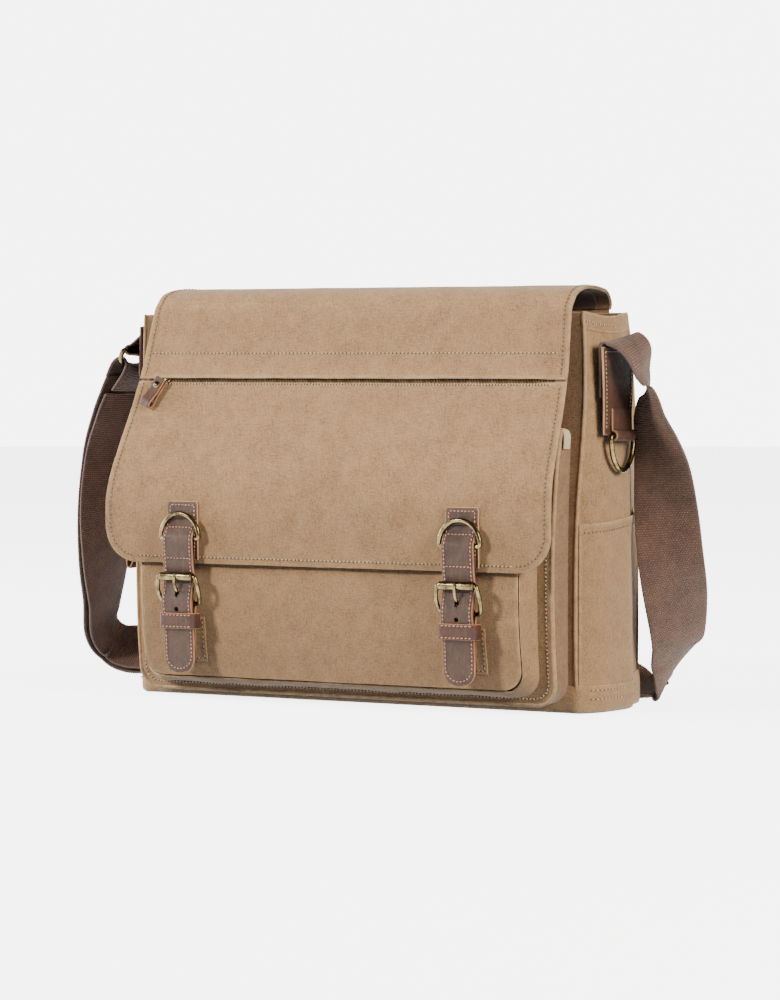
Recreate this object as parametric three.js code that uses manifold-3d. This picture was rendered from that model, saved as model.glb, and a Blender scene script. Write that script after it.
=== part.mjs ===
// A canvas messenger bag with two buckled flap closures, an organizer compartment, a front
// pocket and a shoulder strap. Millimetres: +X is the bag's right as seen from the front,
// the front faces -Y, +Z is up, and the origin is the middle of the base's underside.
import * as THREE from "three";
import { mergeVertices } from "three/addons/utils/BufferGeometryUtils.js";
import Module from "manifold-3d";

const wasm = await Module();
wasm.setup();

// ---- driving dimensions ----
const GAP = 0.3; // between pieces that touch
const CANVAS = 1.8; // canvas with its backing
const WALL = 2.5; // canvas and lining of a main wall
const BODY_HALF = 187.2; // half length of the front and back panels
const BODY_TOP = 297;
const BULGE = { right: 203, left: 207 }; // how far out the middle of a side gusset stands
const BULGE_TOP = { right: 192, left: 205 }; // the same at the mouth of the bag
const BASE_LIP = 20; // height of the base canvas up the sides
const ORGANIZER_HALF = 183;
const ORGANIZER_BOTTOM = 8;
const ORGANIZER_TOP = 212;
const POCKET_HALF = 171;
const POCKET_BOTTOM = 14;
const POCKET_TOP = 190;
const CORNER = 16; // lower corner radius of organizer and pocket
const FLAP_HALF_TOP = 186;
const FLAP_HALF = 197;
const FLAP_BOTTOM = 106;
const FLAP_CORNER = 28;
const FOLD = { y: -50, z: 300 }; // where the flap folds over the front edge
const FLAP_FRONT_TOP = FOLD.z - 3.2; // the front part stops just short of the fold
const ZIP_Z = 248; // height of the flap's zip
const ZIP_SLIT = 6;
const CLOSURE_X = 124;
const STRAP_WIDTH = 28; // closure straps
const STRAP_THICK = 3.6;
const STRAP_TIP = 22;
const WEBBING = 50; // shoulder strap
const WEBBING_THICK = 2.5;
const TAB_Y = -12; // centre line of the side tabs
const WIRE = 2; // ring wire radius

// ---- profiles: the outer face of each curved panel, as points (y, z) ----
const MAIN_FRONT = [[-50, 2.8], [-51, 60], [-50, 150], [-44, 240], [-40, BODY_TOP]];
const MAIN_BACK = [[50, 2.8], [52, 60], [49, 150], [41, 240], [32, BODY_TOP]];
const ORGANIZER = [[-70, ORGANIZER_BOTTOM], [-75, 60], [-76, 120], [-70, 180], [-62, ORGANIZER_TOP]];
const POCKET = [[-88, POCKET_BOTTOM], [-95, 60], [-96.4, 105], [-91, 150], [-80, POCKET_TOP]];
const FLAP_FRONT = [
  [FOLD.y, FOLD.z], [-56, 275], [-62, 252], [-74, 222], [-87, 195], [-97, 172], [-101.2, 152],
  [-101.5, 130], [-101.5, FLAP_BOTTOM],
];
const FLAP_TOP = [
  [34.4, 299.6], [33, 305], [20, 313], [0, 316], [-25, 313], [-42, 306.5], [-49.5, 300.6],
];

// ---- colours ----
const canvas = finish(0xa88a66, 0.95, 0);
const canvasDark = finish(0x97795a, 0.95, 0);
const lining = finish(0x5b4638, 0.8, 0);
const board = finish(0x3a3431, 0.9, 0);
const leather = finish(0x6b5344, 0.6, 0);
const leatherTan = finish(0x9a7258, 0.65, 0);
const metal = finish(0x80704e, 0.35, 1);
const webbing = finish(0x55402f, 0.9, 0);
const beige = finish(0xc8b08a, 0.9, 0);

const bag = new THREE.Group();

function finish(color, roughness, metalness) {
  return new THREE.MeshStandardMaterial({ color, roughness, metalness });
}

function add(parent, name, geometry, material) {
  const mesh = new THREE.Mesh(geometry, material);
  mesh.name = name;
  parent.add(mesh);
  return mesh;
}

// ---- booleans ----
function toSolid(geometry) {
  const bare = geometry.clone();
  bare.deleteAttribute("normal");
  bare.deleteAttribute("uv");
  const merged = mergeVertices(bare, 1e-4);
  const triangles = merged.index.array;
  const vertices = merged.attributes.position.array;
  return new wasm.Manifold(
    new wasm.Mesh({
      numProp: 3,
      vertProperties: new Float32Array(vertices),
      triVerts: new Uint32Array(triangles),
    }),
  );
}

function toGeometry(solid) {
  const mesh = solid.getMesh();
  const geometry = new THREE.BufferGeometry();
  geometry.setAttribute("position", new THREE.BufferAttribute(new Float32Array(mesh.vertProperties), 3));
  geometry.setIndex(new THREE.BufferAttribute(new Uint32Array(mesh.triVerts), 1));
  geometry.computeVertexNormals();
  return geometry;
}

function join(first, ...others) {
  let solid = toSolid(first);
  for (const other of others) {
    solid = solid.add(toSolid(other));
  }
  return toGeometry(solid);
}

function cut(first, ...tools) {
  let solid = toSolid(first);
  for (const tool of tools) {
    solid = solid.subtract(toSolid(tool));
  }
  return toGeometry(solid);
}

function common(first, ...others) {
  let solid = toSolid(first);
  for (const other of others) {
    solid = solid.intersect(toSolid(other));
  }
  return toGeometry(solid);
}

// ---- shapes ----
function outline(points) {
  return new THREE.Shape(points.map(([u, v]) => new THREE.Vector2(u, v)));
}

function curve(points, steps) {
  const spline = new THREE.SplineCurve(points.map(([u, v]) => new THREE.Vector2(u, v)));
  return spline.getPoints(steps).map((p) => [p.x, p.y]);
}

// A shape in (y, z) extruded along X.
function alongX(shape, x0, x1, curveSegments = 6) {
  const depth = x1 - x0;
  const geometry = new THREE.ExtrudeGeometry(shape, { depth, bevelEnabled: false, curveSegments });
  const turn = new THREE.Matrix4().makeBasis(
    new THREE.Vector3(0, 1, 0),
    new THREE.Vector3(0, 0, 1),
    new THREE.Vector3(1, 0, 0),
  );
  return geometry.applyMatrix4(turn).translate(x0, 0, 0);
}

// A shape in (x, z) extruded along Y.
function alongY(shape, y0, y1, curveSegments = 6) {
  const depth = y1 - y0;
  const geometry = new THREE.ExtrudeGeometry(shape, { depth, bevelEnabled: false, curveSegments });
  return geometry.rotateX(Math.PI / 2).translate(0, y1, 0);
}

// A shape in (x, y) extruded along Z.
function alongZ(shape, z0, z1, curveSegments = 6) {
  const depth = z1 - z0;
  const geometry = new THREE.ExtrudeGeometry(shape, { depth, bevelEnabled: false, curveSegments });
  return geometry.translate(0, 0, z0);
}

function block(x0, x1, y0, y1, z0, z1) {
  const geometry = new THREE.BoxGeometry(x1 - x0, y1 - y0, z1 - z0);
  return geometry.translate((x0 + x1) / 2, (y0 + y1) / 2, (z0 + z1) / 2);
}

function rodX(radius, x0, x1, y, z, sides = 12) {
  const geometry = new THREE.CylinderGeometry(radius, radius, x1 - x0, sides);
  return geometry.rotateZ(Math.PI / 2).translate((x0 + x1) / 2, y, z);
}

function rodY(radius, x, y0, y1, z, sides = 12) {
  const geometry = new THREE.CylinderGeometry(radius, radius, y1 - y0, sides);
  return geometry.translate(x, (y0 + y1) / 2, z);
}

// A flexible wall between two depths behind its outer profile; `toBack` is +1 where the
// inside of the wall is on its +Y side, and -1 on the back panel.
function leaf(profile, outerDepth, innerDepth, toBack, half, steps = 14) {
  const face = curve(profile, steps);
  const outer = face.map(([y, z]) => [y + toBack * outerDepth, z]);
  const inner = face.map(([y, z]) => [y + toBack * innerDepth, z]).reverse();
  return alongX(outline([...outer, ...inner]), -half, half);
}

// The space between two profiles, as a block across the bag.
function between(frontProfile, frontShift, backProfile, backShift, z0, z1, half) {
  const front = curve(frontProfile, 14).map(([y, z]) => [y + frontShift, z]);
  const back = curve(backProfile, 14).map(([y, z]) => [y + backShift, z]).reverse();
  const space = alongX(outline([...front, ...back]), -half, half);
  return common(space, block(-half - 1, half + 1, -200, 200, z0, z1));
}

// The front view of a pocket: straight top, rounded lower corners.
function pocketFace(half, bottom, top, radius) {
  const shape = new THREE.Shape();
  shape.moveTo(-half, top);
  shape.lineTo(-half, bottom + radius);
  shape.absarc(-half + radius, bottom + radius, radius, Math.PI, 1.5 * Math.PI, false);
  shape.lineTo(half - radius, bottom);
  shape.absarc(half - radius, bottom + radius, radius, -0.5 * Math.PI, 0, false);
  shape.lineTo(half, top);
  return shape;
}

function depthAt(profile, z) {
  const face = curve(profile, 40);
  for (let i = 1; i < face.length; i += 1) {
    const [y0, z0] = face[i - 1];
    const [y1, z1] = face[i];
    if ((z - z0) * (z - z1) <= 0 && z0 !== z1) {
      return y0 + ((y1 - y0) * (z - z0)) / (z1 - z0);
    }
  }
  return face[face.length - 1][0];
}

// ---- main compartment ----
const sideName = (side) => (side > 0 ? "right" : "left");

function gussetPlan(side, inset) {
  const out = BULGE[sideName(side)];
  const bend = curve(
    [
      [BODY_HALF + GAP, -54], [out - 6, -43], [out, -27], [out + 1, -6],
      [out, 13], [out - 9, 32], [BODY_HALF + GAP, 56],
    ],
    16,
  );
  return bend.map(([x, y]) => [side * (x - inset), y]);
}

// A curved wall standing on the gusset's plan, drawn in towards the mouth of the bag.
const DRAW_START = 170;
function gussetWall(side, outerInset, innerInset, z0, z1) {
  const loop = [...gussetPlan(side, outerInset), ...gussetPlan(side, innerInset).reverse()];
  const shape = outline(side > 0 ? loop : loop.reverse());
  const steps = 12;
  const wall = new THREE.ExtrudeGeometry(shape, { depth: z1 - z0, bevelEnabled: false, steps });
  wall.translate(0, 0, z0);
  const ratio = (BULGE_TOP[sideName(side)] - BODY_HALF) / (BULGE[sideName(side)] - BODY_HALF);
  const at = wall.attributes.position;
  for (let i = 0; i < at.count; i += 1) {
    const rise = Math.max(0, (at.getZ(i) - DRAW_START) / (BODY_TOP - DRAW_START));
    const keep = 1 - (1 - ratio) * rise * rise;
    const out = Math.abs(at.getX(i)) - BODY_HALF;
    at.setX(i, side * (BODY_HALF + (out > 0 ? out * keep : out)));
  }
  return wall;
}

function bothSides(inset) {
  return [...gussetPlan(1, inset), ...gussetPlan(-1, inset).reverse()];
}

function gusset(side) {
  const wall = gussetWall(side, 0, WALL, 2.8, BODY_TOP);
  const sideView = between(MAIN_FRONT, 0, MAIN_BACK, 0, 2.8, BODY_TOP, 230);
  const clear = block(-BODY_HALF, BODY_HALF, -80, 80, -10, 400);
  return cut(common(wall, sideView), clear);
}

function basePanel() {
  const tray = alongZ(outline(bothSides(-GAP - CANVAS)), 0, BASE_LIP);
  const inside = alongZ(outline(bothSides(-GAP)), WALL, BASE_LIP + 1);
  const backWall = 51.6;
  const room = common(inside, block(-230, 230, -80, backWall, 0, 100));
  return cut(common(tray, block(-230, 230, -50.5, backWall + CANVAS, -1, 100)), room);
}

function mainLining() {
  const skin = 0.8;
  const start = WALL + GAP;
  const lift = WALL + 2 + 2 * GAP;
  const outer = between(MAIN_FRONT, start, MAIN_BACK, -start, lift, BODY_TOP - 2, BODY_HALF - 1);
  const inner = between(
    MAIN_FRONT, start + skin, MAIN_BACK, -start - skin, lift + skin, BODY_TOP + 1, BODY_HALF - 1 - skin,
  );
  return cut(outer, inner);
}

function makeMainCompartment() {
  add(bag, "base_panel", basePanel(), canvas);
  add(bag, "front_panel", leaf(MAIN_FRONT, 0, WALL, 1, BODY_HALF), canvas);
  add(bag, "back_panel", leaf(MAIN_BACK, 0, WALL, -1, BODY_HALF), canvas);
  add(bag, "gusset_right", gusset(1), canvas);
  add(bag, "gusset_left", gusset(-1), canvas);
  add(bag, "base_board", block(-183, 183, -45, 45, WALL + GAP, WALL + GAP + 2), board);
  add(bag, "main_lining", mainLining(), lining);
  add(bag, "laptop_divider", block(-184, 184, 16, 20, 9, 235), lining);
}

// ---- slip pocket on each side gusset ----
function makeSidePockets() {
  for (const [name, side] of [["side_pocket_right", 1], ["side_pocket_left", -1]]) {
    const wall = gussetWall(side, -GAP - 1.4, -GAP, BASE_LIP + GAP, 144);
    const sideView = block(-230, 230, -40, 34, 0, 200);
    add(bag, name, common(wall, sideView), canvas);
  }
}

// ---- organizer compartment and front pocket ----
function frame(half, bottom, top, radius, thick) {
  const outer = alongY(pocketFace(half, bottom, top, radius), -140, -20);
  const hollow = pocketFace(half - thick, bottom + thick, top + 1, radius - thick);
  return cut(outer, alongY(hollow, -141, -19));
}

function makeOrganizer() {
  const half = ORGANIZER_HALF;
  const face = alongY(pocketFace(half, ORGANIZER_BOTTOM, ORGANIZER_TOP, CORNER), -140, -20);
  add(bag, "organizer_panel", common(leaf(ORGANIZER, 0, CANVAS, 1, half + 5), face), canvas);
  const room = between(
    ORGANIZER, CANVAS + GAP, MAIN_FRONT, -GAP, 0, ORGANIZER_TOP - 6, half + 5,
  );
  const walls = frame(half, ORGANIZER_BOTTOM, ORGANIZER_TOP, CORNER, CANVAS);
  add(bag, "organizer_gusset", common(walls, room), canvasDark);
  const z0 = ORGANIZER_TOP - 6 + GAP;
  add(bag, "organizer_zip_front", block(-half, half, -61.4, -57.8, z0, z0 + 1.4), webbing);
  add(bag, "organizer_zip_rear", block(-half, half, -52, -48, z0, z0 + 1.4), webbing);
  add(bag, "organizer_zip_end", block(half + GAP, half + 1.8, -62, -54, 196, 210), beige);
}

function makeFrontPocket() {
  const half = POCKET_HALF;
  const face = alongY(pocketFace(half, POCKET_BOTTOM, POCKET_TOP, CORNER), -140, -20);
  add(bag, "pocket_panel", common(leaf(POCKET, 0, CANVAS, 1, half + 5), face), canvas);
  const room = between(POCKET, CANVAS + GAP, ORGANIZER, -GAP, 0, POCKET_TOP - 2, half + 5);
  const walls = frame(half, POCKET_BOTTOM, POCKET_TOP, CORNER, CANVAS);
  add(bag, "pocket_gusset", common(walls, room), canvas);
}

// The canvas patch and the magnetic snap's socket that each closure fastens to.
const SNAP_Z = 47;
const PATCH_FRONT = -96.6;
const SOCKET_FRONT = PATCH_FRONT - 2;
const STUD_FRONT = SOCKET_FRONT - 2;
function makeSnapSockets() {
  for (const [name, x] of [["right", CLOSURE_X], ["left", -CLOSURE_X]]) {
    const shape = outline([[x - 19, 30], [x + 19, 30], [x + 19, 64], [x - 19, 64]]);
    const patch = alongY(shape, PATCH_FRONT, -80);
    const pocket = leaf(POCKET, -GAP, 30, 1, POCKET_HALF);
    add(bag, `snap_patch_${name}`, cut(patch, pocket), canvas);
    add(bag, `snap_socket_${name}`, rodY(8, x, SOCKET_FRONT, PATCH_FRONT - GAP, SNAP_Z, 20), metal);
  }
}

// ---- flap ----
function flapFace(z0, z1) {
  const shape = new THREE.Shape();
  const half = FLAP_HALF;
  const low = FLAP_BOTTOM + FLAP_CORNER;
  shape.moveTo(-FLAP_HALF_TOP, 320);
  shape.lineTo(-FLAP_HALF_TOP, FOLD.z);
  shape.lineTo(-half, low + 20);
  shape.lineTo(-half, low);
  shape.absarc(-half + FLAP_CORNER, low, FLAP_CORNER, Math.PI, 1.5 * Math.PI, false);
  shape.lineTo(half - FLAP_CORNER, FLAP_BOTTOM);
  shape.absarc(half - FLAP_CORNER, low, FLAP_CORNER, -0.5 * Math.PI, 0, false);
  shape.lineTo(half, low + 20);
  shape.lineTo(FLAP_HALF_TOP, FOLD.z);
  shape.lineTo(FLAP_HALF_TOP, 320);
  return common(alongY(shape, -140, -20), block(-230, 230, -150, 0, z0, z1));
}

// Canvas, zip tape and lining lie at these depths behind the flap's outer face.
const FLAP_LAYERS = { canvas: [0, 1.4], tape: [1.7, 2.6], lining: [2.9, 3.8] };

function flapLayer(layer, z0, z1) {
  const [outer, inner] = FLAP_LAYERS[layer];
  return common(leaf(FLAP_FRONT, outer, inner, 1, 210, 20), flapFace(z0, z1));
}

function topLayer(outer, inner) {
  const face = curve(FLAP_TOP, 14);
  const middle = new THREE.Vector2(-8, 262);
  const shrink = (depth) =>
    face.map(([y, z]) => {
      const toMiddle = new THREE.Vector2(middle.x - y, middle.y - z).normalize();
      return [y + toMiddle.x * depth, z + toMiddle.y * depth];
    });
  const loop = [...shrink(outer), ...shrink(inner).reverse()];
  return alongX(outline(loop.reverse()), -FLAP_HALF_TOP, FLAP_HALF_TOP);
}

function makeFlap() {
  add(bag, "flap_top_canvas", topLayer(0, 1.4), canvas);
  add(bag, "flap_top_lining", topLayer(1.7, 2.6), lining);
  const lip = ZIP_Z + ZIP_SLIT / 2;
  const lower = ZIP_Z - ZIP_SLIT / 2;
  add(bag, "flap_upper_canvas", flapLayer("canvas", lip, FLAP_FRONT_TOP), canvas);
  add(bag, "flap_lower_canvas", flapLayer("canvas", 0, lower), canvas);
  add(bag, "flap_lining", flapLayer("lining", 0, FLAP_FRONT_TOP), lining);
  const tape = common(flapLayer("tape", ZIP_Z - 12, ZIP_Z + 12), block(-184, 184, -120, 0, 0, 400));
  add(bag, "flap_zip", tape, webbing);
}

// ---- zip sliders with folded leather pulls ----
const FLAP_SLIDER_X = -166;
const FLAP_SLOPE = Math.atan2(12, 30);
function pullShape(width, length, thick) {
  const loop = new THREE.Shape();
  loop.moveTo(-thick / 2, 0);
  loop.lineTo(-thick / 2, -length + 4);
  loop.absarc(0, -length + 4, 4, Math.PI, 2 * Math.PI, false);
  loop.lineTo(thick / 2, 0);
  return alongX(loop, -width / 2, width / 2, 8);
}

function makeFlapSlider() {
  const group = new THREE.Group();
  group.position.set(FLAP_SLIDER_X, depthAt(FLAP_FRONT, ZIP_Z), ZIP_Z);
  group.rotation.x = -FLAP_SLOPE;
  bag.add(group);
  const plate = block(-6, 6, -1.6, 1.1, -2.2, 2.2);
  add(group, "flap_zip_slider", plate, metal);
  const pull = pullShape(10, 27, 4.4).translate(0, -4.2, -0.4);
  add(group, "flap_zip_pull", pull, leather);
}

function makeOrganizerSlider() {
  const x = -ORGANIZER_HALF;
  add(bag, "organizer_zip_slider", block(x - 3.2, x - GAP, -65, -59, 132, 144), metal);
  const pull = new THREE.Group();
  pull.position.set(x - 8.6, -62, 136);
  pull.rotation.z = Math.PI / 2;
  bag.add(pull);
  add(pull, "organizer_zip_pull", pullShape(9, 40, 4.4), leather);
}

// ---- closures ----
const BAR = { y: -107.1, z: 125 }; // the ring's bar
const BAR_WIRE = 1.6;
const HEEL = { y: -104.2, z: 76 };
const ROLLER = { y: -111.2, z: 96 };
const CLOSURE_STRAP = [
  [-107.6, 106.6], [-106.2, 96], [-108.4, 86], [-110.6, 76], [-108.4, 64], [-106.6, 50],
  [-105.6, STRAP_TIP],
];

function ringArc(half, height, radius) {
  const arc = new THREE.Shape();
  const inner = half - 2 * radius;
  arc.moveTo(half, 0);
  arc.absellipse(0, 0, half, height, 0, Math.PI, false, 0);
  arc.lineTo(-inner, 0);
  arc.absellipse(0, 0, inner, height - 2 * radius, Math.PI, 0, true, 0);
  return arc;
}

// A D-ring standing on its straight bar in the (x, z) plane, bar centred on the origin.
function dRing(half, height, radius) {
  const arc = alongY(ringArc(half, height, radius), -radius, radius, 14);
  return join(arc, rodX(radius, -half, half, 0, 0));
}

function strapProfile() {
  const middle = curve(CLOSURE_STRAP, 18);
  const front = middle.map(([y, z]) => [y - STRAP_THICK / 2, z]);
  const back = middle.map(([y, z]) => [y + STRAP_THICK / 2, z]).reverse();
  return outline([...front, ...back].reverse());
}

function strapLower(x) {
  const half = STRAP_WIDTH / 2;
  const body = alongX(strapProfile(), x - half, x + half);
  const face = alongY(pocketFace(half, STRAP_TIP, 110, 11), -130, -90).translate(x, 0, 0);
  const pinHole = block(x - 2.2, x + 2.2, -130, -90, 76.5, 84.5);
  const spareHole = rodY(2, x, -130, -90, 69.5);
  return cut(common(body, face), pinHole, spareHole);
}

function strapUpper(x) {
  const half = STRAP_WIDTH / 2;
  const shape = outline([
    [-103.5, 108.4], [-103.5, 132], [-108, 132.4], [-110.6, 130], [-110.6, 108.4], [-108, 107.6],
  ]);
  const hole = new THREE.Path();
  hole.absarc(BAR.y, BAR.z, BAR_WIRE + GAP, 0, 2 * Math.PI, true);
  shape.holes.push(hole);
  return alongX(shape, x - half, x + half, 8);
}

function buckleFrame(x) {
  const inner = STRAP_WIDTH / 2 + 1;
  const wire = 1.9;
  const arms = [];
  for (const side of [-1, 1]) {
    const at = x + side * (inner + wire);
    const profile = outline([
      [HEEL.y + 2, HEEL.z - 2], [HEEL.y + 2, HEEL.z + 2], [ROLLER.y + 1.6, ROLLER.z + 2.4],
      [ROLLER.y - 2, ROLLER.z + 2.4], [ROLLER.y - 2, ROLLER.z - 2], [HEEL.y - 2, HEEL.z - 3],
    ]);
    arms.push(alongX(profile, at - wire, at + wire));
  }
  const end = inner + wire;
  const heel = rodX(wire, x - end, x + end, HEEL.y, HEEL.z);
  const axle = rodX(1.3, x - end, x + end, ROLLER.y, ROLLER.z);
  return join(arms[0], arms[1], heel, axle);
}

function roller(x) {
  const half = STRAP_WIDTH / 2 + 0.5;
  const tube = rodX(2.9, x - half, x + half, ROLLER.y, ROLLER.z, 16);
  return cut(tube, rodX(1.6, x - half - 1, x + half + 1, ROLLER.y, ROLLER.z));
}

function prong(x) {
  const loop = rodX(3.5, x - 1.5, x + 1.5, HEEL.y, HEEL.z, 14);
  const front = ROLLER.y - 3.2;
  const pin = outline([
    [HEEL.y - 1.3, HEEL.z + 2.8], [front + 3.1, 82.6], [front, ROLLER.z - 0.2], [front - 0.2, 98.4],
    [front - 2, 98], [front - 1.8, ROLLER.z - 0.5], [front + 1.4, 80.4], [HEEL.y - 1.8, HEEL.z - 0.4],
  ]);
  const rod = alongX(pin, x - 1.2, x + 1.2);
  return cut(join(loop, rod), rodX(2.2, x - 3, x + 3, HEEL.y, HEEL.z, 14));
}

function chape(x) {
  const half = STRAP_WIDTH / 2;
  const outerR = 4.2;
  const back = STUD_FRONT - GAP;
  const body = block(x - half, x + half, back - 2.2, back, 38, HEEL.z);
  const wrap = rodX(outerR, x - half, x + half, HEEL.y, HEEL.z, 16);
  const bore = rodX(2.2, x - half - 1, x + half + 1, HEEL.y, HEEL.z, 14);
  const slot = block(x - 2.2, x + 2.2, -120, -90, HEEL.z - 5, HEEL.z + 6);
  const strapRoom = alongX(strapProfileGrown(), x - half - 1, x + half + 1);
  return cut(join(body, wrap), bore, slot, strapRoom);
}

function strapProfileGrown() {
  const middle = curve(CLOSURE_STRAP, 18);
  const front = middle.map(([y, z]) => [y - 12, z]);
  const back = middle.map(([y, z]) => [y + STRAP_THICK / 2 + GAP, z]).reverse();
  return outline([...front, ...back].reverse());
}

function keeper(x) {
  const half = STRAP_WIDTH / 2 + 0.8;
  const skin = 1.8;
  const back = STUD_FRONT;
  const front = -111.6;
  const outer = block(x - half - skin, x + half + skin, front - skin, back + skin, 56, 68);
  return cut(outer, block(x - half, x + half, front, back, 50, 74));
}

function makeClosure(name, x) {
  const tab = alongY(pocketFace(13.5, 109, 153, 3), -103.2, -101.8).translate(x, 0, 0);
  const cutFlap = leaf(FLAP_FRONT, -GAP, 30, 1, 210, 20);
  add(bag, `${name}_flap_tab`, cut(tab, cutFlap), leather);
  add(bag, `${name}_strap_upper`, strapUpper(x), leather);
  const ring = new THREE.Group();
  ring.position.set(x, BAR.y, BAR.z);
  bag.add(ring);
  add(ring, `${name}_d_ring`, dRing(19, 21, BAR_WIRE), metal);
  add(bag, `${name}_strap_lower`, strapLower(x), leather);
  add(bag, `${name}_buckle_frame`, buckleFrame(x), metal);
  add(bag, `${name}_roller`, roller(x), metal);
  add(bag, `${name}_prong`, prong(x), metal);
  add(bag, `${name}_chape`, chape(x), leather);
  add(bag, `${name}_keeper`, keeper(x), leatherTan);
  add(bag, `${name}_snap_stud`, rodY(6, x, STUD_FRONT, SOCKET_FRONT - GAP, SNAP_Z, 20), metal);
}

// ---- side tabs and their rings ----
const TAB_X = { right: 202, left: 208.4 };

function makeRightTab() {
  const x0 = TAB_X.right + WEBBING_THICK + GAP;
  const shape = outline([
    [TAB_Y - 22, 270], [TAB_Y - 17, 206], [TAB_Y + 17, 206], [TAB_Y + 22, 270],
  ]);
  const plate = alongX(shape, x0, x0 + 2.4);
  const barZ = 206;
  const loop = rodY(4.4, x0 + 4.4, TAB_Y - 15, TAB_Y + 15, barZ, 16);
  const bore = rodY(WIRE + GAP, x0 + 4.4, TAB_Y - 20, TAB_Y + 20, barZ, 14);
  add(bag, "tab_right", cut(join(plate, loop), bore), leatherTan);
  const ring = new THREE.Group();
  ring.position.set(x0 + 4.4, TAB_Y, barZ);
  ring.rotation.set(Math.PI, 0, Math.PI / 2);
  bag.add(ring);
  add(ring, "ring_right", dRing(20, 28, WIRE), metal);
}

function makeLeftTab() {
  const face = -TAB_X.left - 2.4;
  const bar = { x: face - 12, z: 270 };
  const shape = outline([
    [face, 288], [face + 2.4, 288], [face + 2.4, 226], [face, 226], [face, bar.z - 4.4],
    [bar.x, bar.z - 4.4], [bar.x, bar.z + 4.4], [face, bar.z + 7],
  ]);
  const plate = alongY(shape, TAB_Y - 22, TAB_Y + 22);
  const nose = rodY(4.4, bar.x, TAB_Y - 22, TAB_Y + 22, bar.z, 16);
  const bore = rodY(WIRE + GAP, bar.x, TAB_Y - 30, TAB_Y + 30, bar.z, 14);
  add(bag, "tab_left", cut(join(plate, nose), bore), leather);
  const ring = new THREE.Group();
  ring.position.set(bar.x, TAB_Y, bar.z);
  ring.rotation.set(Math.PI + 0.5, 0, Math.PI / 2, "ZXY");
  bag.add(ring);
  add(ring, "ring_left", dRing(30, 20, WIRE), metal);
}

// ---- shoulder strap ----
// Each row is a point on the centre line and the direction across the webbing.
const WEB_X = TAB_X.right + WEBBING_THICK / 2;
const STRAP_ROUTE = [
  [WEB_X, TAB_Y, 234, 0, 1, 0],
  [WEB_X, TAB_Y, 254, 0, 1, 0],
  [WEB_X, TAB_Y, 271, 0, 1, 0],
  [205.6, -12, 276.5, 0, 0.99, 0.12],
  [212, -11.7, 277, -0.06, 0.97, 0.2],
  [219.3, -9.7, 271, -0.1, 0.97, 0.21],
  [222.7, -7.2, 262, -0.18, 0.95, 0.22],
  [223.2, -4.3, 252.7, -0.29, 0.95, 0.12],
  [224.7, -2.1, 244, -0.4, 0.92, 0],
  [225.9, -2, 234.5, -0.67, 0.74, 0],
  [226.5, -0.5, 220, -0.81, 0.58, 0],
  [229, 4.8, 202, -0.93, 0.37, 0],
  [231.5, 10, 178, -1, 0.08, 0],
  [232, 16, 145, -0.97, -0.22, 0],
  [232.6, 21.8, 112.6, -0.89, -0.45, 0],
  [227.5, 42.4, 75.5, -0.61, -0.79, 0],
  [221.7, 56.9, 50, -0.33, -0.94, 0],
  [211.1, 70.4, 34, 0.01, -1, 0],
  [202, 78.9, 20.5, 0.3, -0.95, 0],
  [195, 82.5, 11.5, 0.46, -0.88, -0.06],
  [186.5, 82, 8.5, 0.24, -0.96, -0.14],
  [170, 84.5, 11, 0.05, -0.97, -0.24],
  [140, 91, 17, 0, -0.86, -0.5],
  [60, 96, 18, 0, -0.82, -0.55],
  [-60, 97, 20, 0, -0.82, -0.55],
  [-160, 97, 23, 0, -0.82, -0.55],
  [-225, 95, 19, 0, -0.78, -0.62],
  [-275, 92, 18.5, 0.12, -0.77, -0.62],
  [-303, 87, 19.5, 0.2, -0.75, -0.63],
  [-321, 78, 27, 0.29, -0.82, -0.49],
  [-320, 64, 47, 0.05, -0.87, -0.48],
  [-306.5, 48, 76, -0.1, -0.88, -0.42],
  [-290.7, 28, 110, -0.35, -0.88, -0.25],
  [-275.2, 12, 150, -0.62, -0.78, -0.1],
  [-264, 3, 190, -0.55, -0.83, 0],
  [-252, -7, 220, -0.3, -0.95, 0],
  [-246, -10, 238, -0.1, -1, 0],
  [-241, -11, 251, 0, -1, 0],
];
const RETURN_START = 25; // the doubled run follows the route from here
const RETURN_OFFSET = 6;
const SLIDER_AT = 25; // the slider's place on the route

function ribbon(route, width, thick, stepsPerPoint, shift) {
  const line = new THREE.CatmullRomCurve3(route.map((r) => new THREE.Vector3(r[0], r[1], r[2])));
  const across = new THREE.CatmullRomCurve3(route.map((r) => new THREE.Vector3(r[3], r[4], r[5])));
  const count = (route.length - 1) * stepsPerPoint;
  const positions = [];
  const index = [];
  for (let i = 0; i <= count; i += 1) {
    const centre = line.getPoint(i / count);
    const along = line.getTangent(i / count);
    const wide = across.getPoint(i / count);
    wide.addScaledVector(along, -wide.dot(along)).normalize();
    const normal = new THREE.Vector3().crossVectors(along, wide);
    centre.addScaledVector(normal, shift);
    for (const [u, v] of [[-1, -1], [1, -1], [1, 1], [-1, 1]]) {
      const corner = centre.clone();
      corner.addScaledVector(wide, (u * width) / 2).addScaledVector(normal, (v * thick) / 2);
      positions.push(corner.x, corner.y, corner.z);
    }
    for (let side = 0; i > 0 && side < 4; side += 1) {
      const a = (i - 1) * 4 + side;
      const b = (i - 1) * 4 + ((side + 1) % 4);
      index.push(a, b, b + 4, a, b + 4, a + 4);
    }
  }
  const last = count * 4;
  index.push(0, 2, 1, 0, 3, 2);
  index.push(last, last + 1, last + 2, last, last + 2, last + 3);
  const geometry = new THREE.BufferGeometry();
  geometry.setAttribute("position", new THREE.Float32BufferAttribute(positions, 3));
  geometry.setIndex(index);
  geometry.computeVertexNormals();
  return geometry;
}

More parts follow.
